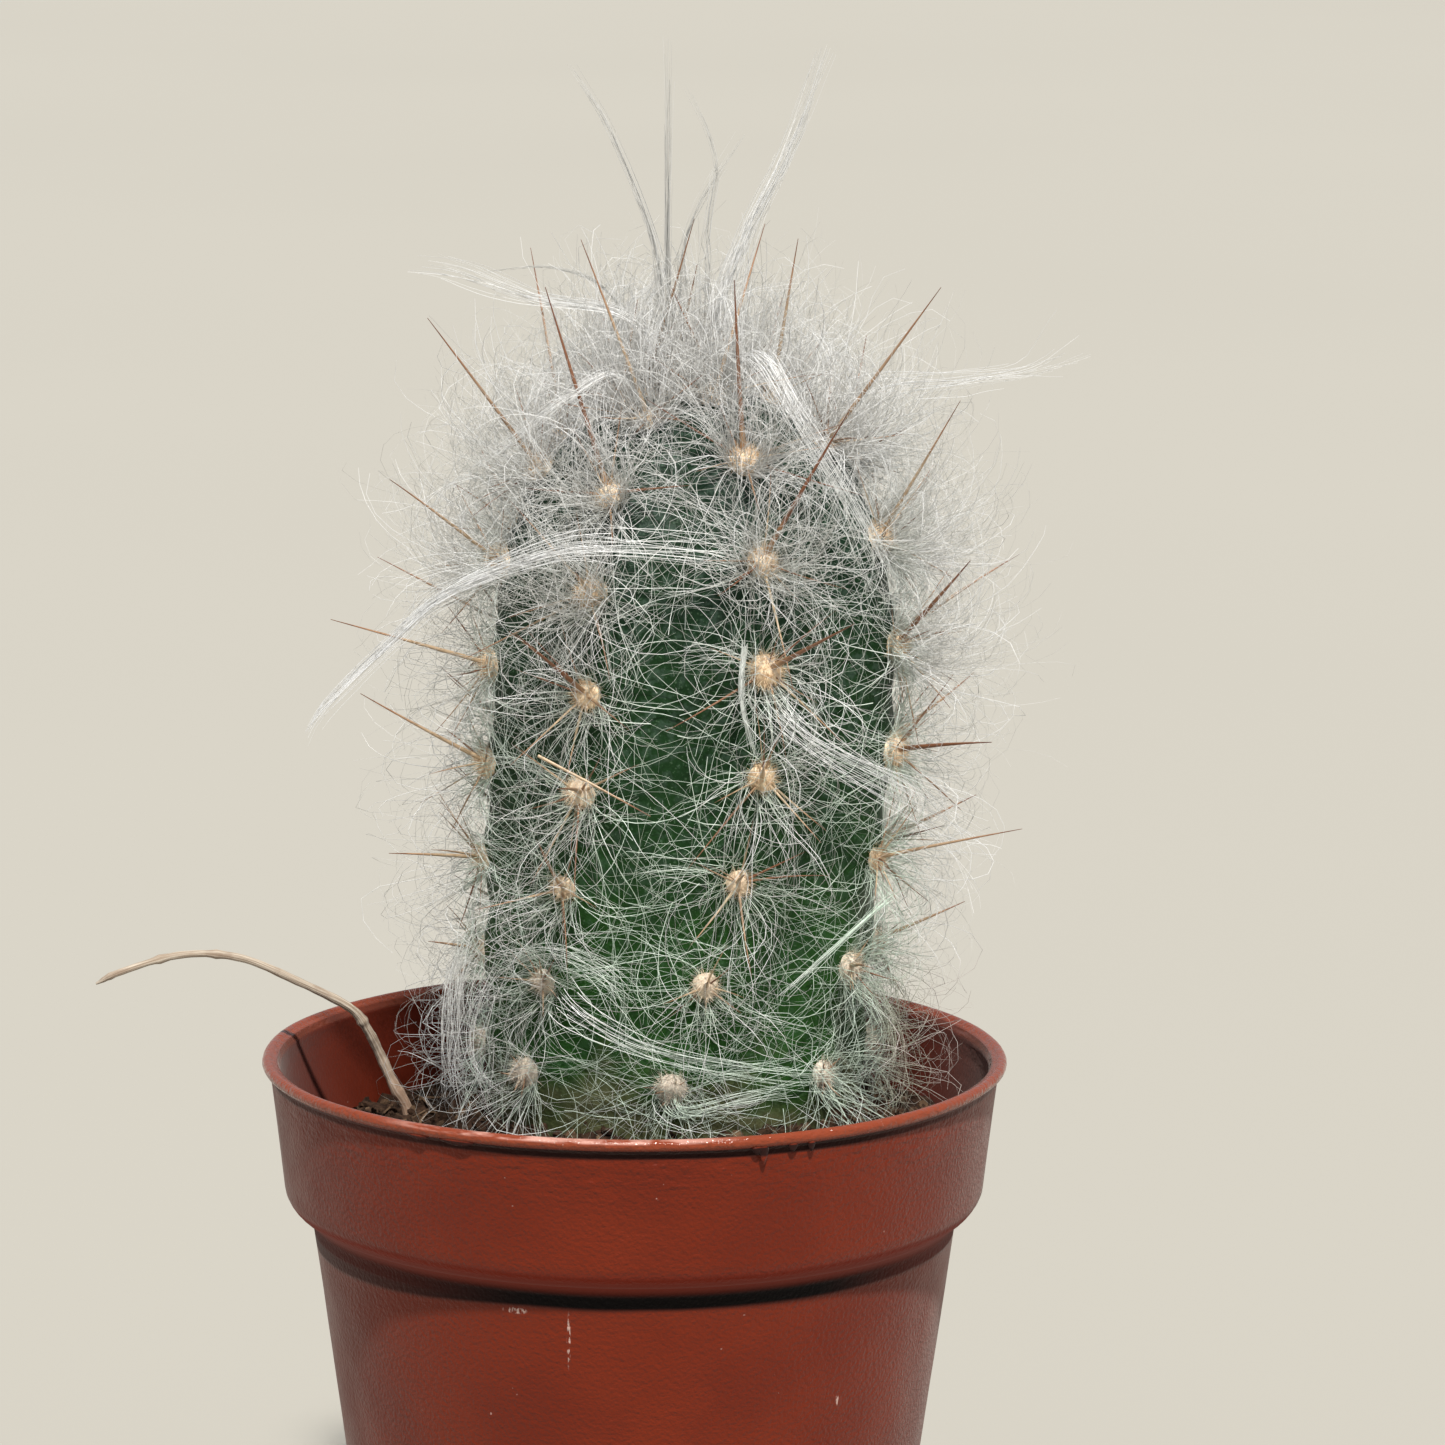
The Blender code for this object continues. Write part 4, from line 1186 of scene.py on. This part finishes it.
def makeSpines(centrals, radials):
    s = spineShape
    own = np.random.default_rng(s["extraSeed"])
    strong, fine = [], []
    for areole, direction, length in centrals:
        bend = own.normal(0, 0.3, 3)
        front = (areole["rib"], areole["row"]) in s["front"]
        radius = s["centralRadius"] * (1.0 if front else 0.8) * own.uniform(0.9, 1.08)
        tone = own.uniform(0, 0.15) if front else own.uniform(0.35, 0.8)
        strong.append(needle(areole, 0.3, direction, length, bend, radius, tone, 9))
    makeStrands("centralSpines", strong, spineHorn, 0.0, 2.5, 7, 3)
    for areole, direction, length in radials:
        bend = own.normal(0, 0.3, 3)
        radius = s["radialRadius"] * own.uniform(0.8, 1.2)
        fine.append(needle(areole, 0.5, direction, length, bend, radius, own.uniform(0, 1)))
    for areole in areoles:
        basis = areole["frame"]
        seen = frontRadials.get((areole["rib"], areole["row"]), [])
        for right, up, paleness in seen:
            lift = 1.6
            aside = (right - lift * basis[0, 2]) / basis[0, 0]
            reach = basis @ np.array((aside, (up - lift * basis[2, 2]) / basis[2, 1], lift))
            length = float(np.linalg.norm(reach))
            bend = own.normal(0, 0.25, 3)
            fine.append(needle(areole, 0.5, reach / length, length, bend, s["radialRadius"] * 1.15, paleness))
        for _ in range(max(s["extraRadials"] - len(seen), 0)):
            direction = pointing(own.uniform(0, math.tau), math.radians(own.uniform(8, 42)))
            length = own.uniform(3.2, 7.0) * s["rowShares"][min(areole["row"], 2)]
            bend = own.normal(0, 0.3, 3)
            radius = s["radialRadius"] * own.uniform(0.6, 0.95)
            fine.append(needle(areole, 0.5, basis @ direction, length, bend, radius, own.uniform(0, 1)))
    fine.append(tuple(np.array(part) for part in looseSpine))
    makeStrands("radialSpines", fine, spineHorn, 0.0, 2.5, 5, 4)


centralNeedles, radialNeedles, lockRoutes = drawNeedles()
makeSpines(centralNeedles, radialNeedles)


# Long wisps and locks: bundles of parallel hairs along a route

# name: number of hairs, half width at the root and at the tip, how grey, the grey partly painted shade, and
# the route from root to tip
wisps = {
    "crownTall": (28, 1.1, 0.7, 0.7, [
        (4.4, 0, 97), (2.6, 0, 104), (2.2, 0, 109), (2.2, 0, 117), (2.1, 0, 125.2)]),
    "crownLeft": (28, 1.1, 0.6, 0.65, [
        (3.9, -2, 97), (2, -2, 104.7), (1.2, -2, 110.5), (-2, -2, 118.4), (-4.9, -2, 123.2)]),
    "crownRight": (40, 2.0, 1.7, 0.35, [
        (4.9, 2, 97), (6, 2, 104.9), (8.1, 3, 110.7), (11, 4, 116.4), (13.8, 5, 124)]),
    "crownFork": (22, 1.0, 0.8, 0.7, [(4.4, 3, 96.5), (3.4, 3, 105), (3.6, 3, 110.7), (7.7, 4, 117.9)]),
    "crownThin": (12, 0.8, 0.6, 0.65, [(5.6, 1, 97), (5, 1, 109.4), (5.6, 1, 116), (3.4, 1, 122)]),
    "upperLeft": (24, 1.1, 1.0, 0.35, [
        (1.4, -4, 96.5), (0.2, -4, 104.5), (-7.7, -3, 106.4), (-12.9, 0, 108), (-16.6, 2, 108.6)]),
    "backLeft": (14, 0.7, 0.3, 0.9, [(1, 5, 96), (-1.5, 5, 105), (-6, 6, 107.5), (-12, 7, 107)]),
    "shoulderLeft": (26, 0.9, 0.6, 0.3, [
        (0.9, -5, 96.6), (-1.5, -8.6, 101.6), (-5.3, -10.4, 99.8), (-9.3, -10, 96.4), (-14, -8, 92.8)]),
    "shoulderRight": (40, 1.2, 1.2, 0.3, [
        (6, -4, 96.6), (8.4, -8.6, 103), (11.7, -12.4, 98.9), (15.3, -12, 93.1), (17.6, -10.6, 88.6),
        (19.4, -8.6, 85)]),
    "longLeftRoot": (20, 1.3, 0.8, 0.2, [
        (8.6, -12.6, 88.4), (5, -16.6, 90), (-5.2, -16.4, 90.1), (-13.1, -11.6, 86.3)]),
    "longLeft": (48, 0.9, 0.4, 0.0, [
        (-1, -16.8, 90.4), (-5.2, -16.4, 90.1), (-13.1, -11.6, 86.3), (-17.6, -8.6, 82.1),
        (-22.4, -6, 77), (-23.9, -5, 74.6)]),
    "thinRight": (20, 1.7, 0.9, 0.35, [
        (12, -3, 94.6), (16.9, -2.4, 99.6), (23.5, 0, 100.2), (29.3, 1, 100.8), (33.2, 2, 102)]),
    "flankRight": (38, 1.6, 1.6, 0.05, [
        (8.6, -13.4, 80.4), (11, -16.6, 78.3), (14.5, -15.6, 75.6), (19.6, -10.2, 72), (24, -5.4, 68.8),
        (26.5, -3.6, 67)]),
    "straightRight": (20, 0.4, 0.12, 0.0, [
        (19.0, -8.0, 63.6), (17.4, -9.8, 62.8), (13.9, -13.9, 60.5), (10.1, -17, 57.6)]),
    "lowLeft": (44, 2.7, 2.3, 0.6, [
        (-10.4, -2, 61.6), (-12.8, -5, 58), (-13.4, -7.4, 52.6), (-12.8, -9.4, 48.6)]),
    "lowLeftInner": (18, 2.3, 2.0, 0.5, [
        (-9.6, -10, 60.5), (-11.4, -11, 56.3), (-11.9, -12, 52.1), (-10.6, -13, 48.3)]),
    "lowRight": (26, 1.6, 2.4, 0.9, [(15, -4, 59), (18, -5.6, 55.4), (19.2, -7, 51.6), (18, -9, 48.6)]),
    "roundBase": (17, 1.2, 0.5, 0.15, [
        (-5.6, -14.6, 57.8), (-3.6, -16.4, 56.4), (0.9, -17, 54.2), (6.1, -16.8, 52.9),
        (12, -14.6, 51.6), (15.7, -12, 51.2)]),
    "softArc": (20, 1.0, 1.4, 0.3, [
        (-9.9, -10, 58.2), (-6.1, -13.6, 60.4), (-2.1, -16, 59.4), (0.5, -17, 56.9)]),
    "lowFront": (22, 0.8, 0.5, 0.2, [
        (2.4, -13, 50.8), (3.6, -16.2, 49.4), (7.8, -16.6, 50.4), (12.1, -15, 50.8)]),
    "backLow": (24, 1.2, 1.0, 0.2, [(5.6, 11, 60), (9, 17, 57), (14, 15.6, 53), (19, 10, 51.4)]),
    "backHigh": (26, 1.1, 0.7, 0.1, [(2, 13.4, 84), (-1, 17, 84), (-8, 16.4, 80), (-14, 12, 75)]),
    "ribbon": (34, 0.2, 0.13, 0.2, [(7.9, -16.5, 83.7), (7.7, -17, 79.5), (8.7, -16.4, 75.1)]),
}
wispShape = {"hairRadius": 0.027, "kink": 0.16, "kinkLength": 2.6, "seed": 23, "points": 16}
lockHairs = {"hairs": 12, "halfWidths": (1.0, 1.2), "greyAndShade": 0.2, "kink": 0.4, "kinkLength": 2.2, "points": 11}


def smoothRoute(points, count):
    # A Catmull-Rom curve through the points, as evenly counted places
    spots = np.asarray(points, float)
    ends = np.concatenate(([2 * spots[0] - spots[1]], spots, [2 * spots[-1] - spots[-2]]))
    places = np.linspace(0, len(spots) - 1 - 1e-6, count)
    first = places.astype(int)
    t = (places - first)[:, None]
    before, start, end, after = (ends[first + k] for k in range(4))
    curve = 2 * start + (end - before) * t + (2 * before - 5 * start + 4 * end - after) * t**2
    return 0.5 * (curve + (3 * start - before - 3 * end + after) * t**3)


def wave(own, spread, height, slow, fast, share):
    # How far a hair lies from the middle of its bundle, along its length
    middle = own.normal(0, spread)
    return middle + own.normal(0, height) * np.sin(share * own.uniform(slow, fast) + own.uniform(0, 6))


def bundle(hairs, rootWidth, tipWidth, greyAndShade, route, count, own):
    # Hairs side by side along a route, each a little shorter or longer, the bundle flat across the route
    made = []
    fine = smoothRoute(route, 80)
    heading = unit(np.gradient(fine, axis=0))
    wide = unit(np.cross(heading, aboveSkin(fine)[1]), 1e-6)
    lines = (fine, wide, np.cross(wide, heading))
    for _ in range(hairs):
        start = own.uniform(0, 0.5) * own.uniform(0.2, 1)
        end = max(1 - abs(own.normal(0, 0.22)), 0.55)
        places = np.linspace(start, end, count)
        share = places[:, None]
        width = (rootWidth + (tipWidth - rootWidth) * share) * (0.8 + 0.6 * (2 * share - 1) ** 2)
        sway = wave(own, 0.42, 0.5, 2, 7, share)
        if own.uniform() < 0.3:
            sway = sway + own.normal(0, 2.2) * share**2
        depth = wave(own, 0.3, 0.25, 3, 8, share)
        base, across, through = (
            np.stack([np.interp(places * 79, np.arange(80), row) for row in line.T], 1) for line in lines
        )
        path = base + across * sway * width + through * depth * width * 0.6
        thick = wispShape["hairRadius"] * own.uniform(0.6, 1.3) * (1 - 0.6 * np.linspace(0, 1, count))
        made.append((path, thick, min(max(greyAndShade + own.uniform(-0.15, 0.25), 0), 1)))
    return made


def makeWisps():
    s, lock = wispShape, lockHairs
    own = np.random.default_rng(s["seed"])
    strands = [hair for wisp in wisps.values() for hair in bundle(*wisp, s["points"], own)]
    makeStrands("longWisps", strands, whiteHair, s["kink"], s["kinkLength"], 3, 11)
    sizes = (lock["hairs"], *lock["halfWidths"], lock["greyAndShade"])
    strands = [hair for route in lockRoutes for hair in bundle(*sizes, route, lock["points"], own)]
    makeStrands("hairLocks", strands, whiteHair, lock["kink"], lock["kinkLength"], 3, 12)


makeWisps()


# The white hair that grows from every areole

hairShape = {
    "seed": 77,
    "points": 10,
    "radius": 0.027,
    "kink": 0.10,
    "kinkLength": 2.2,
    # of the loose hairs anywhere on the skin, how many stand at each height
    "looseHairs": 1400,
    "looseHeights": (47, 56, 62, 68, 74, 84, 99),
    "looseShares": (0.7, 0.5, 0.36, 0.42, 0.54, 0.66, 0.8),
    # shares of the web's hairs on the lowest rows, of the fuzz near the top, and of the fuzz's loft low down
    "rowShares": (0.72, 0.72, 0.82, 0.88, 0.94),
    "topShare": 1.3,
    "lowLoft": 0.75,
}
# Kinds of hair: how many grow at an areole, at what angles to the skin, how high they rise off it, how long
# they are, how fast they turn upwards, curl along the skin and roll, how thick they are, and how grey, the
# grey partly painted shade
looseHair = {
    "loft": (0.25, 2.3), "length": (6.5, 16.0), "walk": (0.0, 0.15, 0.08), "thick": 1.0, "greyAndShade": (0.0, 0.8),
}
webHair = {**looseHair, "hairs": 34, "rise": (-4, 30), "walk": (0.0, 0.12, 0.08)}
lowWebHair = {**webHair, "walk": (-0.05, 0.12, 0.08)}
# the lowest rows' hair, greyer for stains and as painted shade
soiledShadedWebHair = {**lowWebHair, "greyAndShade": (0.3, 1.0)}
fuzzHair = {
    "hairs": 56, "rise": (20, 75), "loft": (2.2, 7.0), "length": (8.0, 15.0), "walk": (0.01, 0.17, 0.2),
    "thick": 0.95, "greyAndShade": (0.45, 1.0),
}
lowFuzzHair = {**fuzzHair, "walk": (-0.015, 0.17, 0.2)}
footHair = {
    "hairs": 14, "rise": (5, 50), "loft": (0.8, 4.5), "length": (7, 13), "walk": (-0.06, 0.18, 0.2),
    "thick": 0.85, "greyAndShade": (0.3, 1.0),
}
crownHair = {
    "hairs": 150, "rise": (20, 85), "loft": (2.0, 10.0), "length": (8.0, 16.0), "walk": (0.085, 0.2, 0.25),
    "thick": 0.85, "greyAndShade": (0.45, 1.0),
}


def turned(headings, axes, angles):
    return headings + np.cross(axes, headings) * np.sin(angles)[:, None]


def growHairs(roots, directions, lofts, lengths, own, up, curl, roll):
    # Walks every hair along at once: each is drawn to its own height over the skin and curls as it goes
    count = len(roots)
    step = lengths / (hairShape["points"] - 1)
    spots = roots.copy()
    heading = directions.copy()
    bend = own.normal(0, curl, count) * np.where(own.uniform(0, 1, count) < 0.25, 2.2, 0.8)
    wobble = own.uniform(0.0, 0.16, count)
    beat = own.uniform(0.5, 1.4, count)
    phase = own.uniform(0, math.tau, count)
    spin = unit(own.normal(0, 1, (count, 3)))
    rolling = own.normal(0, roll, count)
    paths = [spots.copy()]
    for k in range(hairShape["points"] - 1):
        height, out = aboveSkin(spots)
        wave = 0.45 + 0.55 * np.abs(np.sin(phase + 0.45 * beat * k))
        pull = np.clip((lofts * wave - height) / np.maximum(lofts, 1.0), -1.2, 1.2)
        heading += out * (pull * 0.5 * step)[:, None]
        heading = turned(heading, out, (bend + wobble * np.cos(beat * k + phase)) * step)
        heading = turned(heading, spin, rolling * step)
        heading[:, 2] += up * step
        heading = unit(heading)
        spots = spots + heading * step[:, None]
        height, out = aboveSkin(spots)
        spots += out * np.clip(0.15 - height, 0, None)[:, None]
        paths.append(spots.copy())
    return np.stack(paths, 1)


def rootedStarts(areole, count, lowest, highest, own):
    # Roots round the rim of an areole, more of them on its lower half
    around = own.uniform(0, math.tau, count)
    around = np.where((np.sin(around) > 0.2) & (own.uniform(0, 1, count) < 0.4), -around, around)
    rise = np.radians(own.uniform(lowest, highest, count))
    local = np.stack((np.cos(around) * np.cos(rise), np.sin(around) * np.cos(rise), np.sin(rise)), 1)
    rim = np.stack((np.cos(around), np.sin(around), own.uniform(0.05, 0.5, count)), 1)
    rim *= own.uniform(0.95, 1.45, count)[:, None]
    return areole["point"] + rim @ areole["frame"].T, local @ areole["frame"].T


def looseStarts(own):
    # Starts anywhere over the skin, heading mostly round the plant
    s = hairShape
    z = own.uniform(bodyShape["soilLine"] + 0.5, bodyShape["apexZ"] - 0.4, 4 * s["looseHairs"])
    dense = np.interp(z, s["looseHeights"], s["looseShares"])
    area = np.clip(crestRadius(z) / bodyShape["bellyRadius"], 0.25, 1)
    z = z[own.uniform(0, 1, len(z)) < dense * area][: s["looseHairs"]]
    degrees = own.uniform(0, 360, len(z))
    roots = np.array([surfacePoint(d, h) for d, h in zip(degrees, z)])
    out = aboveSkin(roots)[1]
    roots = roots + out * (own.uniform(0.1, 1.6, len(z)) - aboveSkin(roots)[0])[:, None]
    aside = unit(np.cross((0, 0, 1.0), out), 1e-3)
    along = np.cross(out, aside)
    turn = own.uniform(0, math.tau, len(z))
    flat = np.interp(z, (50, 70), (0.55, 0.9))[:, None]
    headings = aside * np.cos(turn)[:, None] + along * flat * np.sin(turn)[:, None]
    return roots, unit(headings + out * own.uniform(-0.1, 0.3, (len(z), 1)))


def hairsOf(kind, roots, directions, own, loftShare=1.0):
    count = len(roots)
    lofts = own.uniform(*kind["loft"], count) * loftShare
    lengths = own.uniform(*kind["length"], count)
    paths = growHairs(roots, directions, lofts, lengths, own, *kind["walk"])
    taper = 1 - 0.6 * np.linspace(0, 1, paths.shape[1]) ** 1.5
    strands = []
    # Hairs near the soil are finer
    ages = np.interp(paths[:, 0, 2], (48, 62, 74), (0.76, 0.80, 1.0))
    for path, age in zip(paths, ages):
        bold = own.uniform() < 0.27
        wide = age * (own.uniform(1.1, 1.45) if bold else own.uniform(0.5, 0.9))
        # The grey tone is partly painted shade for hairs in shadow
        tone = own.uniform(*kind["greyAndShade"]) * (0.5 if bold else 1.0)
        strands.append((path, hairShape["radius"] * kind["thick"] * wide * taper, tone))
    return strands


def tuft(kind, areole, own, share=1.0, loftShare=1.0):
    roots, directions = rootedStarts(areole, int(kind["hairs"] * share), *kind["rise"], own)
    return hairsOf(kind, roots, directions, own, loftShare)


def makeHair():
    s = hairShape
    own = np.random.default_rng(s["seed"])
    web = hairsOf(looseHair, *looseStarts(own), own)
    fuzz = []
    for areole in areoles:
        row, low, top = areole["row"], areole["row"] < 2, areole["fromTop"] < 3
        kind = (soiledShadedWebHair, lowWebHair, webHair)[min(row, 2)]
        web += tuft(kind, areole, own, s["rowShares"][min(row, 4)])
        share, loftShare = (s["topShare"] if top else 1.0), (s["lowLoft"] if low else 1.0)
        fuzz += tuft(fuzzHair if row > 3 else lowFuzzHair, areole, own, share, loftShare)
        if low:
            fuzz += tuft(footHair, areole, own)
        if top:
            fuzz += tuft(crownHair, areole, own)
    for name, strands, letters, seed in (("hairWeb", web, "AB", 31), ("hairFuzz", fuzz, "ABC", 33)):
        size = len(strands) // len(letters)
        for k, letter in enumerate(letters):
            part = strands[k * size : (k + 1) * size] if k + 1 < len(letters) else strands[k * size :]
            makeStrands(name + letter, part, whiteHair, s["kink"], s["kinkLength"], 3, seed + k)


makeHair()


# Soil

soilShape = {
    "gap": 0.3,
    "edgeZ": 42.6,
    "mound": 4.0,
    "flatRadius": 14.0,
    "moundReach": 12.5,
    "lump": 0.35,
    "roughness": 0.21,
    "rings": 46,
    "sides": 120,
    "crumbsFrom": 13.2,
    "crumbsPerMm2": 0.8,
    "crumb": (0.35, 1.15),
    "fibres": 150,
    "seed": 9,
}


def moundHeight(x, y):
    s = soilShape
    fall = np.clip((np.hypot(x - bodyShape["baseX"], y) - s["flatRadius"]) / s["moundReach"], 0, 1)
    lumps = np.sin(0.9 * x + 1.3) * np.sin(0.76 * y + 0.4) + np.sin(1.5 * x + 1.1 * y)
    return s["edgeZ"] + s["mound"] * (1 - fall) ** 1.6 + s["lump"] * lumps


def soilTop(x, y):
    spots = np.stack((x.ravel(), y.ravel(), 0 * x.ravel()), 1)
    rough = ripple(spots, 3.1, 51) + 0.7 * ripple(spots, 1.4, 52) + 0.4 * ripple(spots, 0.8, 53)
    return moundHeight(x, y) + soilShape["roughness"] * rough.reshape(x.shape)


def makeSoilBed():
    s = soilShape
    wall = potShape["wall"]
    edge = potShape["collarFootRadius"] - wall - s["gap"] + 0.27
    top = spun([(radius, 0) for radius in np.linspace(0.6, edge, s["rings"])], s["sides"])
    top[:, :, 2] = soilTop(top[:, :, 0], top[:, :, 1])
    line = [spot for spot in collarLine(wall, 8) if spot[1] < s["edgeZ"] - 0.6] + lowerLine(wall, 2.6, 5)
    foot = potShape["floor"] + s["gap"]
    side = [(radius - s["gap"], z) for radius, z in line] + [(radius, foot) for radius in (16.6, 8.0, 0.6)]
    rings = np.concatenate((top, spun(side, s["sides"])))
    mesh = gridMesh("soilBed", rings, (0, 0, float(moundHeight(0.0, 0.0))), (0, 0, foot))
    addFloats(mesh, "tone", np.zeros(len(mesh.vertices)))
    mesh.materials.append(peat)
    bed = newObject("soilBed", mesh)
    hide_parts("soil")
    finishPiece(bed)


def makeCrumbTree():
    inputs = {
        "Crumb": ("Object", None),
        "Density": ("Float", 1000.0),
        "Smallest": ("Float", 0.0003),
        "Largest": ("Float", 0.0010),
        "Seed": ("Int", 1),
    }
    tree, given, result = beginTree("crumbs", inputs)
    shape = addNode(tree, "GeometryNodeObjectInfo", {"Object": given["Crumb"]}).outputs["Geometry"]
    size = randomValue(tree, given["Seed"], given["Smallest"], given["Largest"])
    turn = randomValue(tree, given["Seed"], None, (math.tau, math.tau, math.tau), "FLOAT_VECTOR")
    crumbs = scattered(tree, given, given["Density"], shape, lambda normal: turn, size)
    paleness = calc("POWER", randomValue(tree, 3), 5.0)
    return endTree(tree, given, result, stored(tree, crumbs, "tone", paleness, domain="INSTANCE"))


def makeCrumb():
    own = np.random.default_rng(soilShape["seed"])
    made = bmesh.new()
    bmesh.ops.create_cube(made, size=1)
    bmesh.ops.subdivide_edges(made, edges=made.edges, cuts=1, use_grid_fill=True)
    for vertex in made.verts:
        vertex.co = vertex.co.normalized() * own.uniform(0.34, 0.56)
        vertex.co.z *= 0.75
    return newObject("crumb", keepMesh(made, "crumb"))


def makeCrumbs(outer):
    # Crumbs lie on the ring of soil that shows between the plant and the pot
    s = soilShape
    inner = s["crumbsFrom"]
    angles = np.linspace(0, math.tau, 90)
    share = np.linspace(0, 1, 14)[:, None]
    inX, inY = bodyShape["baseX"] + inner * np.cos(angles), inner * np.sin(angles)
    x = inX + share * (outer * np.cos(angles) - inX)
    y = inY + share * (outer * np.sin(angles) - inY)
    rings = np.stack((x, y, soilTop(x, y) + 0.1), 2)
    rows, around = rings.shape[:2]
    corners = [row * around + k for row in range(rows - 1) for k in range(around - 1)]
    faces = [(c, c + around, c + around + 1, c + 1) for c in corners]
    mesh = bpy.data.meshes.new("crumbGround")
    mesh.from_pydata((rings.reshape(-1, 3) * mm).tolist(), [], faces)
    crumb = makeCrumb()
    values = {
        "Crumb": crumb,
        "Density": s["crumbsPerMm2"] / mm**2,
        "Smallest": s["crumb"][0] * mm,
        "Largest": s["crumb"][1] * mm,
        "Seed": s["seed"],
        "Material": peat,
    }
    crumbs = grown("soilCrumbs", mesh, makeCrumbTree(), values)
    bpy.data.objects.remove(crumb, do_unlink=True)
    finishPiece(crumbs)


def makeFibres(outer):
    own = np.random.default_rng(soilShape["seed"] + 1)
    fibres = []
    while len(fibres) < soilShape["fibres"]:
        angle = own.uniform(0, math.tau)
        far = own.uniform(14.5, 23.8)
        heading = own.uniform(0, math.tau)
        length = own.uniform(1.5, 5.5)
        share = np.linspace(-0.5, 0.5, 7)
        x = far * math.cos(angle) + share * length * math.cos(heading)
        y = far * math.sin(angle) + share * length * math.sin(heading)
        if np.max(np.hypot(x, y)) > outer or np.min(np.hypot(x - bodyShape["baseX"], y)) < 14:
            continue
        z = soilTop(x, y) + 0.35 + own.uniform(0, 0.6) * share
        fibres.append((np.stack((x, y, z), 1), np.full(7, own.uniform(0.05, 0.13)), own.uniform(0.1, 1.0)))
    makeStrands("soilFibres", fibres, peat, 0.8, 1.8, 4, 41)


soilEdge = potShape["collarFootRadius"] - potShape["wall"] - 0.9
makeSoilBed()
makeCrumbs(soilEdge)
makeFibres(soilEdge)


# The dry stalk

stalkShape = {
    "route": [
        (-16.8, 5, 39.5), (-17, 5, 43.9), (-18.1, 5, 46.2), (-19.1, 5, 48.5), (-20, 4.5, 50.5),
        (-21.3, 4, 52.3),
        (-24.9, 3, 54.4), (-29.3, 2, 56.5), (-33.7, 1, 56.9), (-38, 0, 55.8), (-39.8, 0, 54.9),
    ],
    "radius": 0.47,
    "tip": 0.46,
    # place along the stalk, swelling and width of each knot
    "knots": [(0.17, 0.16, 0.02), (0.44, 0.22, 0.012), (0.74, 0.30, 0.008), (0.83, 0.42, 0.008),
        (0.93, 0.25, 0.012)],
    "points": 120,
    "sides": 14,
}


def makeStalk():
    s = stalkShape
    path = smoothRoute(s["route"], s["points"])
    share = np.linspace(0, 1, s["points"])
    thick = s["radius"] * (1 + (s["tip"] - 1) * share)
    for place, swelling, width in s["knots"]:
        thick = thick * (1 + swelling * np.exp(-(((share - place) / width) ** 2)))
    thick = thick * (1 + 0.03 * np.sin(share * 190) + 0.05 * np.sin(share * 71 + 1))
    thick[-6:] *= np.linspace(0.95, 0.35, 6)
    stalk = makeStrands("dryStalk", [(path, thick, 0.0)], dryStraw, 0.12, 6.0, s["sides"], 51)
    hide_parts("dry_stem")


makeStalk()
